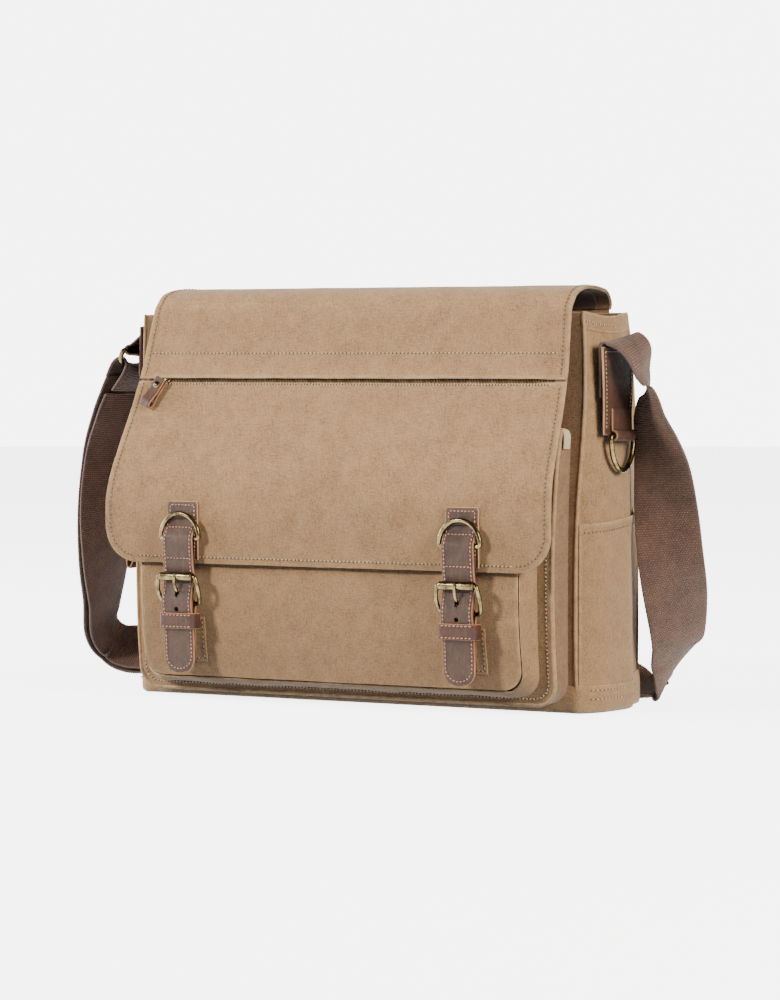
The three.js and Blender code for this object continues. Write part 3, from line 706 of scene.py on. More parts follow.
def webbing(name, route, shift, replaces):
    """The webbing itself: a flat ribbon whose ribs and edges step in and out along it."""
    rows = spline(route, 60 * (len(route) - 1))
    points, _, wides, normals = frames([r[:3] for r in rows], [Vector(r[3:]) for r in rows])
    centre = [p + n * shift for p, n in zip(points, normals)]
    step = WEB_RIB / MM / 2
    places = resample(centre, step)
    line = []
    across = []
    scales = []
    for i, (k, share) in enumerate(places):
        line.append(centre[k].lerp(centre[k + 1], share))
        across.append(wides[k].lerp(wides[k + 1], share))
        high = i % 2
        scales.append((1.0 - 0.012 * high, 1.0 - 0.18 * high))
    mesh = Mesh()
    section = strip_section(WEBBING, WEBBING_THICK, 0.8, 14)
    slots = strip_slots(14)
    sweep(mesh, line, section, across, scales=scales, slots=slots)
    size = len(section)
    mesh.across = [section[k % size][0] * MM + 0.05 for k in range(len(mesh.verts))]
    mesh.along = [(k // size) * step * MM + 0.001 for k in range(len(mesh.verts))]
    piece = build(name, mesh, [WEB, WEB_EDGE], "bag", replaces, angle=80)
    path = [tuple(p * MM) for p in centre[::6]]
    length = sum((b - a).length for a, b in zip(centre, centre[1:])) * MM
    return piece, path, length


def make_shoulder_strap():
    strap, path, length = webbing("strap_webbing", STRAP_ROUTE, 0, ["shoulder_strap"])
    back_run = STRAP_ROUTE[RETURN_START:-1]
    doubled, path, length = webbing("strap_webbing_doubled", back_run, RETURN_OFFSET, ["strap_return"])


# ---- main compartment ----
def gusset_plan(side):
    out = BULGE[side]
    plan = [
        (BODY_HALF + 0.3, -54), (out - 6, -43), (out, -27), (out + 1, -6),
        (out, 13), (out - 9, 32), (BODY_HALF + 0.3, 56),
    ]
    return np.array(spline(plan, 96))


PLANS = {side: gusset_plan(side) for side in ("right", "left")}


def gusset_point(side, y, z, off=0.0):
    """A point on a side gusset's outer face, off millimetres out from it."""
    plan = PLANS[side]
    reach = float(np.interp(y, plan[:, 1], plan[:, 0])) - BODY_HALF
    ratio = (BULGE_TOP[side] - BODY_HALF) / (BULGE[side] - BODY_HALF)
    rise = max(0.0, (z - DRAW_START) / (BODY_TOP - DRAW_START))
    reach *= 1 - (1 - ratio) * rise * rise
    middle = math.exp(-(((y - 2) / 36) ** 4))
    dent = 1.1 * soft((0, y, z), 48, 3.1 + BULGE[side]) + 0.6 * soft((0, y, z), 19, 5.7)
    x = BODY_HALF + reach + off + middle * dent
    slope = (np.interp(y + 1, plan[:, 1], plan[:, 0]) - np.interp(y - 1, plan[:, 1], plan[:, 0])) / 2
    lean = float(slope) * off / math.hypot(1, slope)
    sign = 1 if side == "right" else -1
    return Vector((sign * x, y - lean, z))


def rim_sag(z, share):
    """How far the slack top of a gusset hangs below its corners."""
    return 3.2 * math.sin(math.pi * share) ** 1.5 * max(0.0, 1 - (BODY_TOP - z) / 60)


def gusset_grid(side, z0, z1, off, y_from=None, y_to=None, rows=60):
    grid = []
    steps = 44
    for i in range(rows + 1):
        z = z1 + (z0 - z1) * i / rows
        front = front_profile.y_at(z) if y_from is None else y_from
        back = back_profile.y_at(z) if y_to is None else y_to
        line = []
        for j in range(steps + 1):
            share = j / steps if side == "right" else 1 - j / steps
            line.append(gusset_point(side, front + (back - front) * share, z - rim_sag(z, share), off))
        grid.append(line)
    return grid


def wall_point(profile, x, z, off=0.0, seed=1.0, amount=1.0):
    """A point on the front or back wall, with the slack of cloth in its middle."""
    s = profile.s_at(z)
    y, height = profile.at(s)
    ny, nz = profile.normal(s)
    slack = amount * (1.3 * soft((x, 0, z), 85, seed) + 0.5 * soft((x, 0, z), 27, seed + 4))
    return Vector((x, y + ny * (off + slack), height + nz * (off + slack)))


def wall_grid(profile, z0, z1, off, back=False, **slack):
    """A whole wall, from the front edge of one gusset to that of the other."""
    cols = 110
    rows = 70
    grid = []
    for i in range(rows + 1):
        z = z1 + (z0 - z1) * i / rows
        y = profile.y_at(z)
        left = gusset_point("left", y, z).x + 0.6
        right = gusset_point("right", y, z).x - 0.6
        line = [wall_point(profile, left + (right - left) * j / cols, z, off, **slack) for j in range(cols + 1)]
        grid.append(line[::-1] if back else line)
    return grid


def pocket_slope(share):
    """The slip pockets' tops climb towards the back and hang a little in the middle."""
    return -4 + 11 * share - 2.0 * math.sin(math.pi * share)


def make_main_body():
    front = Mesh()
    shell(front, wall_grid(front_profile, 2.8, BODY_TOP, 0, seed=2, amount=0.25), 2.3)
    # the front panel, seen only in the shadow between flap, organizer and gusset, takes the darker canvas: painted
    # shade
    build("front_panel_cloth", front, [CANVAS_PAINTED_SHADE], "bag", ["front_panel"])
    back = Mesh()
    shell(back, wall_grid(back_profile, 2.8, BODY_TOP, 0, True, seed=6, amount=0.8), 2.3)
    build("back_panel_cloth", back, [CANVAS], "bag", ["back_panel"])
    for side in ("right", "left"):
        wall = Mesh()
        shell(wall, gusset_grid(side, 2.8, BODY_TOP, 0), 2.3)
        build(f"gusset_cloth_{side}", wall, [CANVAS], "bag", [f"gusset_{side}"])
        hem = Mesh()
        shell(hem, gusset_grid(side, BODY_TOP - 12, BODY_TOP + 0.8, 0.9, rows=8), 1.0)
        build(f"gusset_hem_{side}", hem, [CANVAS], "bag")
        pocket = Mesh()
        grid = gusset_grid(side, BASE_LIP - 4, 144, 1.0, -49, 46, rows=40)
        for i, line in enumerate(grid):
            open_by = 1.6 * math.exp(-i / 2.2)
            for point in line:
                share = (point.y + 49) / 95
                point.x += math.copysign(open_by * math.sin(math.pi * share), point.x)
                point.z += pocket_slope(share) * (1 - i / 40)
        shell(pocket, grid, 1.2)
        build(f"side_pocket_cloth_{side}", pocket, [CANVAS], "bag", [f"side_pocket_{side}"])


def base_loop(inset, z):
    """The plan of the base, inset from its outer face, at height z."""
    front = -51.2 + inset
    back = 53.4 - inset
    out = 2.2 - inset
    points = []
    steps = 40
    for j in range(steps + 1):
        y = front + (back - front) * j / steps
        p = gusset_point("right", min(max(y, -53), 55), 30, out)
        points.append(Vector((p.x, y, z)))
    for j in range(1, 70):
        points.append(Vector((points[steps].x * (1 - 2 * j / 70), back, z)))
    for j in range(steps + 1):
        y = back + (front - back) * j / steps
        p = gusset_point("left", min(max(y, -53), 55), 30, out)
        points.append(Vector((p.x, y, z)))
    left_x = points[-1].x
    for j in range(1, 70):
        points.append(Vector((left_x * (1 - 2 * j / 70), front, z)))
    return points


def make_base():
    mesh = Mesh()
    rings = [
        base_loop(8, 2.2), base_loop(1.6, 3.4), base_loop(1.4, BASE_LIP), base_loop(0.6, BASE_LIP + 0.7),
        base_loop(0, BASE_LIP), base_loop(-0.2, 12), base_loop(0, 3.4), base_loop(0.9, 1.1), base_loop(3.2, 0),
    ]
    for ring in rings[2:5]:
        for point in ring:
            point.z += 7 * max(0.0, (point.y + 10) / 63) ** 2
    size = len(rings[0])
    verts = [p for ring in rings for p in ring]
    wear = [0.0] * size * 3 + [0.9] * size + [0.2] * size + [0.0] * size + [0.2] * size + [0.8] * size + [0.0] * size
    faces = [tuple(reversed(range(size)))]
    for r in range(len(rings) - 1):
        faces += ring_faces(size, r, r + 1)
    faces.append(tuple((len(rings) - 1) * size + k for k in range(size)))
    mesh.add(verts, faces, wear=wear)
    build("base_cloth", mesh, [CANVAS], "bag", ["base_panel"])


def welt(mesh, path, radius, wear=0.55):
    sweep(mesh, path, circle(radius, 8), wear=[wear] * 8)


def make_body_welts():
    """The seams where front, back and gussets meet stand out as narrow ridges."""
    mesh = Mesh()
    for side in ("right", "left"):
        for profile in (front_profile, back_profile):
            path = []
            for i in range(50):
                z = 3 + (BODY_TOP - 3.5) * i / 49
                y = profile.y_at(z)
                p = gusset_point(side, y, z, 0.0)
                p.y += 0.4 if profile is front_profile else -0.4
                path.append(p)
            welt(mesh, path, 1.5)
    build("seam_ridges", mesh, [CANVAS], "bag")


def inside_loop(z):
    """The inside of the main compartment at height z, as a rounded rectangle."""
    front = front_profile.y_at(z) + 3.1
    back = back_profile.y_at(z) - 3.1
    half = BODY_HALF - 1.2
    radius = 9
    points = []
    corners = ((1, -1, -math.pi / 2), (1, 1, 0), (-1, 1, math.pi / 2), (-1, -1, math.pi))
    for sx, sy, start in corners:
        corner_y = (front if sy < 0 else back) - sy * radius
        for k in range(7):
            turn = math.pi / 2 * k / 6 + start
            points.append((sx * (half - radius) + radius * math.cos(turn), corner_y + radius * math.sin(turn)))
    dense = []
    for a, b in zip(points, points[1:] + points[:1]):
        gap = math.dist(a, b)
        # the same count at every height, so that the rows of the lining line up
        cuts = 1 if gap < 9 else (40 if abs(b[0] - a[0]) > 100 else 9)
        dense += [(a[0] + (b[0] - a[0]) * k / cuts, a[1] + (b[1] - a[1]) * k / cuts) for k in range(cuts)]
    return dense


def make_inside():
    mesh = Mesh()
    heights = [BODY_TOP - 1.5 - 289 * i / 50 for i in range(51)]
    grid = []
    for z in heights:
        line = []
        for x, y in inside_loop(z):
            fold = 0.5 + 0.5 * soft((x, y, z), 30, 9)
            inward = Vector((-x / 187, -y / 50 if abs(y) > 20 else 0, 0)) * fold * 0.8
            line.append(Vector((x, y, z)) + inward)
        grid.append(line)
    rings = grid + [[p * 0.98 + Vector((0, 0, 0.4)) for p in grid[-1]]]
    size = len(grid[0])
    thick = 0.7
    verts = []
    for ring in rings:
        verts += ring
    back_start = len(verts)
    for ring in reversed(rings):
        for p in ring:
            away = Vector((p.x / 187, p.y / 50, 0))
            verts.append(p + away * thick + Vector((0, 0, -0.4 if ring is rings[-1] else 0)))
    faces = []
    rows = len(rings) * 2
    for r in range(rows - 1):
        if r != len(rings) - 1:
            faces += ring_faces(size, r, r + 1)
    faces += ring_faces(size, rows - 1, 0)
    faces.append(tuple((len(rings) - 1) * size + k for k in range(size)))
    faces.append(tuple(back_start + k for k in reversed(range(size))))
    mesh.add(verts, faces)
    build("inside_lining", mesh, [LINING], "bag", ["main_lining"])


def make_divider():
    """The padded laptop divider, quilted in upright channels with a bound top."""
    mesh = Mesh()
    half = 183
    rows = 60
    cols = 120
    grid_front = []
    for i in range(rows + 1):
        z = 234 - 224.5 * i / rows
        line = []
        for j in range(cols + 1):
            x = half * (2 * j / cols - 1)
            edge = min(half - abs(x), 234 - z, z - 9.5)
            crown = 1 - math.exp(-max(edge, 0) / 4)
            channel = abs(math.sin(math.pi * (x + half) / 46))
            puff = 0.35 + 1.55 * crown * (0.35 + 0.65 * channel**0.5)
            line.append((x, puff, z))
        grid_front.append(line)
    verts = [(x, 18 - puff, z) for line in grid_front for x, puff, z in line]
    verts += [(x, 18 + puff, z) for line in grid_front for x, puff, z in line]
    size = cols + 1
    total = (rows + 1) * size
    faces = []
    for i in range(rows):
        for j in range(cols):
            a = i * size + j
            faces.append((a, a + size, a + size + 1, a + 1))
            faces.append((total + a, total + a + 1, total + a + size + 1, total + a + size))
    loop = list(range(size)) + [i * size + cols for i in range(1, rows + 1)]
    loop += [rows * size + j for j in range(cols - 1, -1, -1)] + [i * size for i in range(rows - 1, 0, -1)]
    for a, b in zip(loop, loop[1:] + loop[:1]):
        faces.append((a, b, total + b, total + a))
    mesh.add(verts, faces)
    pad = build("divider_pad", mesh, [LINING], "bag", ["laptop_divider"])
    binding = Mesh()
    path = [Vector((-half + 2 * half * k / 60, 18, 233.6)) for k in range(61)]
    sweep(binding, path, circle(2.1, 10), wide=(0, 1, 0))
    build("divider_binding", binding, [TAPE], "bag")


# ---- organizer compartment and front pocket ----
def corner_half(half, bottom, radius, z):
    """Half width of a face with rounded lower corners, at height z."""
    if z >= bottom + radius:
        return half
    drop = min(bottom + radius - z, radius)
    return half - radius + math.sqrt(max(radius * radius - drop * drop, 0))


def corner_rows(bottom, top, radius, straight, bend):
    """Heights from top to bottom, closer together round the lower corners."""
    heights = [top + (bottom + radius - top) * i / straight for i in range(straight)]
    heights += [bottom + radius - radius * math.sin(math.pi / 2 * i / bend) for i in range(bend + 1)]
    return heights


def face_point(profile, x, z, off, seed, slack):
    s = profile.s_at(z)
    y, height = profile.at(s)
    ny, nz = profile.normal(s)
    wave = slack * (soft((x, 0, z), 70, seed) + 0.45 * soft((x, 0, z), 24, seed + 3))
    return Vector((x, y + ny * (off + wave), height + nz * (off + wave)))


def u_path(half, bottom, top, radius, inset=0.0):
    """Down the left side, round the two lower corners and up the right side, as (x, z)."""
    half -= inset
    bottom += inset
    radius -= inset
    turns = [math.pi / 2 * k / 12 for k in range(13)]
    points = [(-half, top + (bottom + radius - top) * i / 40) for i in range(40)]
    points += [(-half + radius - radius * math.cos(t), bottom + radius - radius * math.sin(t)) for t in turns]
    points += [(-half + radius + 2 * (half - radius) * k / 70, bottom) for k in range(1, 70)]
    points += [(half - radius + radius * math.sin(t), bottom + radius - radius * math.cos(t)) for t in turns]
    points += [(half, bottom + radius + (top - bottom - radius) * i / 40) for i in range(1, 41)]
    return points


def pocket_face(mesh, profile, half, bottom, top, thick, seed, slack, mouth_sag):
    grid = []
    cols = 110
    for z in corner_rows(bottom, top, CORNER, 56, 12):
        wide = corner_half(half, bottom, CORNER, z)
        line = []
        for j in range(cols + 1):
            x = wide * (2 * j / cols - 1)
            near_top = math.exp(-(top - z) / 14)
            point = face_point(profile, x, z, 0, seed, slack * min(1.0, (wide - abs(x)) / 18 + 0.1))
            point.z -= mouth_sag * near_top * math.cos(math.pi * x / (2 * half))
            line.append(point)
        grid.append(line)
    shell(mesh, grid, thick)


def band(mesh, front, back, half, bottom, top, thick, seed, bow, draw=0.0):
    """The gusset between a face and what is behind it; draw pulls its front edge in."""
    # out points to the middle of the pocket, so a positive bow pinches the band
    path = u_path(half, bottom, top, CORNER)
    across = 14
    grid = []
    for n, (x, z) in enumerate(path):
        before = path[max(n - 1, 0)]
        after = path[min(n + 1, len(path) - 1)]
        out = Vector((after[1] - before[1], 0, before[0] - after[0])).normalized() * -1
        y0 = front(z)
        y1 = back(z)
        line = []
        for k in range(across + 1):
            share = k / across
            swell = bow * math.sin(math.pi * share) * (0.7 + 0.9 * soft((x, 0, z), 32, seed))
            swell += 0.8 * soft((x, 40 * share, z), 13, seed + 2) * math.sin(math.pi * share)
            pull = draw * (abs(out.x) + abs(out.z)) * (1 - share)
            line.append(Vector((x, y0 + (y1 - y0) * share, z)) + out * (swell + pull))
        grid.append(line)
    shell(mesh, grid, thick)


def make_organizer():
    face = Mesh()
    pocket_face(face, organizer_profile, ORGANIZER_HALF, ORGANIZER_BOTTOM, ORGANIZER_TOP, 1.6, 12, 0.8, 0)
    build("organizer_cloth", face, [CANVAS], "bag", ["organizer_panel"])
    wall = Mesh()
    band(
        wall, lambda z: organizer_profile.y_at(z) + 2.0, lambda z: front_profile.y_at(z) - 0.5,
        ORGANIZER_HALF, ORGANIZER_BOTTOM, ORGANIZER_TOP - 6, 1.6, 21, -1.4,
    )
    # the recessed organizer band takes the darker canvas: painted shade
    build("organizer_band", wall, [CANVAS_PAINTED_SHADE], "bag", ["organizer_gusset"])
    ridge = Mesh()
    path = [
        Vector((x, organizer_profile.y_at(z) + 0.9, z))
        for x, z in u_path(ORGANIZER_HALF + 1.4, ORGANIZER_BOTTOM - 1.2, ORGANIZER_TOP - 1, CORNER)
    ]
    welt(ridge, path, 1.7, 0.7)
    build("organizer_welt", ridge, [CANVAS], "bag")


POCKET_DRAW = 4.5


def make_front_pocket():
    face = Mesh()
    drawn = POCKET_HALF - POCKET_DRAW
    low = POCKET_BOTTOM + POCKET_DRAW
    pocket_face(face, pocket_profile, drawn, low, POCKET_TOP, 1.6, 31, 1.0, 2.5)
    build("pocket_cloth", face, [CANVAS], "bag", ["pocket_panel"])
    wall = Mesh()
    band(
        wall, lambda z: pocket_profile.y_at(z) + 2.3, lambda z: organizer_profile.y_at(z) - 0.6,
        POCKET_HALF, POCKET_BOTTOM, POCKET_TOP - 2, 1.6, 27, -1.6, POCKET_DRAW - 0.6,
    )
    build("pocket_band", wall, [CANVAS], "bag", ["pocket_gusset"])
    for side, x in CLOSURES:
        patch = Mesh()
        grid = []
        for i in range(13):
            z = 64 - 34 * i / 12
            grid.append([face_point(pocket_profile, x - 17 + 32 * j / 12, z, 0.7, 31, 1.0) for j in range(13)])
        shell(patch, grid, 0.6)
        build(f"snap_patch_cloth_{side}", patch, [CANVAS], "bag", [f"snap_patch_{side}"])


# ---- flap ----
def flap_half(s):
    """Half width of the flap, s millimetres along it from its back seam."""
    z = flap_profile.at(s)[1]
    if s <= FOLD_S:
        return FLAP_HALF_TOP - 11 * (1 - s / FOLD_S) ** 1.6
    low = FLAP_BOTTOM + FLAP_CORNER
    if z >= low:
        share = min((FOLD_Z - z) / (FOLD_Z - low - 20), 1)
        return FLAP_HALF_TOP + (FLAP_HALF - FLAP_HALF_TOP) * share
    drop = min(low - z, FLAP_CORNER)
    return FLAP_HALF - FLAP_CORNER + math.sqrt(max(FLAP_CORNER**2 - drop**2, 0))


def flap_point(x, s, off=0.0):
    """A point on the flap's outer face, off millimetres out from it."""
    y, z = flap_profile.at(s)
    ny, nz = flap_profile.normal(s)
    edge = FLAP_HALF - abs(x)
    ripple = 0.35 * math.exp(-max(edge - 6, 0) / 9) * soft((0, s, 0), 9, 41 if x > 0 else 43)
    wave = 1.0 * soft((x, s, 0), 80, 50) + 0.45 * soft((x, s, 0), 26, 53)
    crown = 0.8 * math.sin(math.pi * min(max((s - FOLD_S) / 180, 0), 1))
    rise = off + ripple + wave * min(1, max(edge, 0) / 30 + 0.15) * 0.8 + crown
    return Vector((x, y + ny * rise, z + nz * rise))


def flap_normal(s):
    ny, nz = flap_profile.normal(s)
    return Vector((0, ny, nz))


LIP_S = flap_s(ZIP_Z - 0.3)
LOWER_S = flap_s(ZIP_Z - 2.8)
BOTTOM_S = flap_profile.length


def flap_grid(s0, s1, off, inset=0.0, lift=None):
    """Rows of the flap from s0 to s1; the rows draw together round its lower corners."""
    cols = 120
    pitch = 3.2
    low_s = flap_s(FLAP_BOTTOM + FLAP_CORNER)
    straight_end = min(s1, low_s)
    count = max(int((straight_end - s0) / pitch), 2)
    stations = [s0 + (straight_end - s0) * i / count for i in range(count + 1)]
    if s1 > low_s:
        bend = 16
        reach = s1 - low_s
        stations += [low_s + reach * math.sin(math.pi / 2 * i / bend) for i in range(1, bend + 1)]
    grid = []
    for s in stations:
        wide = flap_half(s) - inset
        line = []
        for j in range(cols + 1):
            x = wide * (2 * j / cols - 1)
            extra = lift(x, s) if lift else 0.0
            line.append(flap_point(x, s, off + extra))
        grid.append(line)
    return grid


FOLD_BLEND = ("flap_top", "flap_front", (0, -0.034, 0.3085), (0, -0.0555, 0.279))


def lip_lift(x, s):
    """The zip's upper lip stands a little proud and ripples."""
    near = math.exp(-(LIP_S - s) / 7)
    ends = min(1.0, (184 - min(abs(x), 184)) / 18)
    return near * ends * (2.3 + 0.9 * soft((x, 0, 0), 26, 61))


def tuck(x, s):
    """The lower cloth's top edge dips under the lip."""
    ends = min(1.0, (184 - min(abs(x), 184)) / 18)
    return -1.1 * math.exp(-(s - LOWER_S) / 3.0) * ends


def make_flap():
    upper = Mesh()
    shell(upper, flap_grid(1.0, LIP_S, 0, lift=lip_lift), 1.3)
    build(
        "flap_cloth_upper", upper, [CANVAS],
        replaces=["flap_top_canvas", "flap_upper_canvas"], blend=FOLD_BLEND,
    )
    lower = Mesh()
    shell(lower, flap_grid(LOWER_S, BOTTOM_S, 0, lift=tuck), 1.3)
    build("flap_cloth_lower", lower, [CANVAS], "flap_front", ["flap_lower_canvas"])
    facing = Mesh()
    shell(facing, flap_grid(1.0, BOTTOM_S - 0.4, -1.5, 0.5), 1.1)
    # the flap's facing underneath takes the darker canvas: painted shade
    build("flap_facing", facing, [CANVAS_PAINTED_SHADE], blend=FOLD_BLEND)
    inside = Mesh()
    shell(inside, flap_grid(1.0, BOTTOM_S - 13, -2.75, 12), 0.7)
    build(
        "flap_inside", inside, [LINING],
        replaces=["flap_top_lining", "flap_lining"], blend=FOLD_BLEND,
    )
    seam = Mesh()
    grid = []
    for level in range(9):
        share = level / 8
        line = []
        for j in range(91):
            x = (flap_half(0) - 1) * (1 - 2 * j / 90)
            if share <= 0.5:
                z = 286 + 12.6 * share * 2
                line.append(Vector((x, back_profile.y_at(min(z, BODY_TOP)) + 1.4, z)))
            else:
                s = 1.0 + 14 * (share - 0.5) * 2
                line.append(flap_point(x, s, 1.4))
        grid.append(line)
    shell(seam, grid[::-1], 1.2)
    build(
        "flap_back_seam", seam, [CANVAS],
        blend=("bag", "flap_top", (0, 0.034, 0.291), (0, 0.034, 0.305)),
    )


def flap_outline(inset, from_s):
    """Down the flap's left edge, along its bottom and up its right edge, as (x, s)."""
    low_s = flap_s(FLAP_BOTTOM + FLAP_CORNER)
    bottom = BOTTOM_S - inset
    radius = FLAP_CORNER - inset
    left = []
    count = 90
    for i in range(count + 1):
        s = from_s + (low_s - from_s) * i / count
        left.append((-(flap_half(s) - inset), s))
    arc = []
    for k in range(1, 15):
        turn = math.pi / 2 * k / 14
        arc.append((-(FLAP_HALF - inset - radius + radius * math.cos(turn)), low_s + (bottom - low_s) * math.sin(turn)))
    side = left + arc
    base = [(side[-1][0] * (1 - 2 * k / 100), bottom) for k in range(1, 100)]
    return side, base, [(-x, s) for x, s in reversed(side)]


def make_flap_zip():
    tape = Mesh()
    grid = [[flap_point(-180 + 3 * j, LIP_S - 3 + 1.6 * i, -1.35) for j in range(121)] for i in range(7)]
    shell(tape, grid, 0.8)
    build("flap_zip_tape", tape, [TAPE], "flap_front", ["flap_zip"])
    teeth = Mesh()
    for k in range(150):
        x = -176 + 352 * k / 149
        for row, lean in ((-0.9, 0.35), (0.9, -0.35)):
            s = (LIP_S + LOWER_S) / 2 + row
            middle = flap_point(x + (0.6 if row > 0 else 0), s, -0.95)
            down = (flap_point(x, s + 1, 0) - flap_point(x, s, 0)).normalized()
            along = (Vector((1, 0, 0)) * lean + down).normalized()
            sweep(teeth, [middle - along * 1.1, middle, middle + along * 1.1], circle(0.5, 6))
    build("flap_zip_teeth", teeth, [TEETH], "flap_front")


# ---- leather straps, rings and buckles ----
def leather_strip(mesh, path, width, thick, wide=(1, 0, 0), across=6, round_end=0.0):
    """A leather strip along a path, with cut edges and, if asked for, a rounded tip."""
    points = []
    for k, share in resample(path, 1.6):
        points.append(Vector(path[k]).lerp(Vector(path[k + 1]), share))
    total = sum((b - a).length for a, b in zip(points, points[1:]))
    scales = []
    done = 0.0
    for i, point in enumerate(points):
        if i:
            done += (point - points[i - 1]).length
        left = total - done
        grow = 1.0
        if round_end and left < round_end:
            share = 1 - left / round_end
            grow = (width / 2 - round_end + round_end * math.sqrt(max(1 - share * share, 0))) / (width / 2)
        scales.append((max(grow, 0.12), 1))
    section = strip_section(width, thick, 0.5, across)
    sweep(mesh, points, section, wide, scales=scales, slots=strip_slots(across))


CLOSURES = (("right", CLOSURE_X), ("left", -CLOSURE_X))
CLOSURE_STRAP = [
    (-107.8, 105), (-106.4, 96), (-108.4, 86), (-110.6, 76), (-108.4, 64), (-106.6, 50), (-105.6, STRAP_TIP),
]
# from the tab, over the ring's bar and down to the strap
STRAP_HEAD = [
    (-104.6, 139.5), (-105.2, 136), (-107.2, 131.5), (-109.6, 127.5), (-110.2, 125), (-109.9, 120), (-109.2, 111),
]
FRONT_LAYER = spline(STRAP_HEAD + [(y - 0.95, z) for y, z in CLOSURE_STRAP], 160)
STRAP_FACE = [(y - 0.97, z) for y, z in FRONT_LAYER]


def strap_normal(z):
    """The direction out of a closure strap's front at height z."""
    rise = strap_surface(0, 0, z + 1).y - strap_surface(0, 0, z - 1).y
    return Vector((0, -2, rise)).normalized()


def strap_surface(x0, dx, z, off=0.0):
    """A point on the front of a closure strap at height z."""
    y = float(np.interp(-z, [-q[1] for q in STRAP_FACE], [q[0] for q in STRAP_FACE]))
    return Vector((x0 + dx, y - off, z))


def closure_blend(side, x):
    """Where a closure's strap bends between the flap and its loose lower part."""
    return ("flap_front", f"closure_{side}", (x * MM, -0.1095, 0.1115), (x * MM, -0.1095, 0.1025))


def cut_holes(piece, places, radius):
    """Cuts round holes through a strap, front to back."""
    for centre in places:
        bpy.ops.mesh.primitive_cylinder_add(vertices=18, radius=radius * MM, depth=0.02, location=centre * MM)
        tool = bpy.context.object
        tool.rotation_euler = (math.pi / 2, 0, 0)
        cutter = piece.modifiers.new("hole", "BOOLEAN")
        cutter.object = tool
        cutter.operation = "DIFFERENCE"
        bpy.context.view_layer.update()
        depsgraph = bpy.context.evaluated_depsgraph_get()
        cut_mesh = bpy.data.meshes.new_from_object(piece.evaluated_get(depsgraph))
        piece.modifiers.clear()
        old = piece.data
        piece.data = cut_mesh
        bpy.data.meshes.remove(old)
        bpy.data.objects.remove(tool)


def wire_loop(mesh, points, radius):
    sweep(mesh, points, circle(radius, 14), closed=True)


def d_ring_points(half, height, radius):
    """A D lying in a plane, its straight bar through the origin, as (across, up)."""
    steps = 26
    a = half - radius
    b = height - radius
    corner = 2.2
    foot = corner * 0.6
    turns = [math.pi * k / steps for k in range(steps + 1)]
    points = [(a * math.cos(t), foot + (b - foot) * math.sin(t)) for t in turns]
    points += [(-a + corner * 0.35, 0.5), (-a + corner, 0)]
    points += [(-a + corner + (2 * a - 2 * corner) * k / 8, 0) for k in range(1, 8)]
    points += [(a - corner, 0), (a - corner * 0.35, 0.5)]
    return points


def make_closure(side, x):
    front = Mesh()
    leather_strip(front, [Vector((x, y, z)) for y, z in FRONT_LAYER], 27, 1.9, round_end=11)
    holes = [Vector((x, -110.5, z)) for z in (82, 83.6, 85.2, 71)]
    build_strap(f"{side}_strap_front", front, [f"{side}_strap_upper"], holes, LEATHER_EDGE)
    under = Mesh()
    path = [Vector((x, y + 0.98, z)) for y, z in spline([(-106.6, 116), (-107.0, 110)] + CLOSURE_STRAP, 90)]
    leather_strip(under, path, 26.2, 1.7, round_end=11.4)
    build_strap(f"{side}_strap_back", under, [f"{side}_strap_lower"], holes, LEATHER_DARK)
    make_flap_tab(side, x)
    make_buckle(side, x)
    make_keeper(side, x)
    make_chape(side, x)
    ring = Mesh()
    points = [Vector((x + a, -107.1 - 0.02 * b, 125 + b)) for a, b in d_ring_points(19, 21, 1.75)]
    wire_loop(ring, points, 1.9)
    build(f"{side}_ring_wire", ring, [BRASS], f"d_ring_{side}", [f"{side}_d_ring"])


def build_strap(name, mesh, replaces, holes, edge):
    """Builds a strap layer, cuts its holes, and then bakes its transform."""
    piece = bpy.data.objects.new(name, mesh_data(name, mesh, [LEATHER, edge]))
    bpy.context.scene.collection.objects.link(piece)
    cut_holes(piece, holes, 1.9)
    smooth_shade(piece.data, 50)
    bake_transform(piece)
    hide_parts(*replaces)


def make_flap_tab(side, x):
    mesh = Mesh()
    grid = []
    for i in range(25):
        z = 153 - 44 * i / 24
        s = flap_s(z)
        half = 13.5 - (1.2 if i == 0 else 0)
        grid.append([flap_point(x - half + 2 * half * j / 12, s, 1.7) for j in range(13)])
    shell(mesh, grid, 1.6, rim_slot=1)
    build(f"{side}_tab_leather", mesh, [LEATHER, LEATHER_EDGE], "flap_front", [f"{side}_flap_tab"])


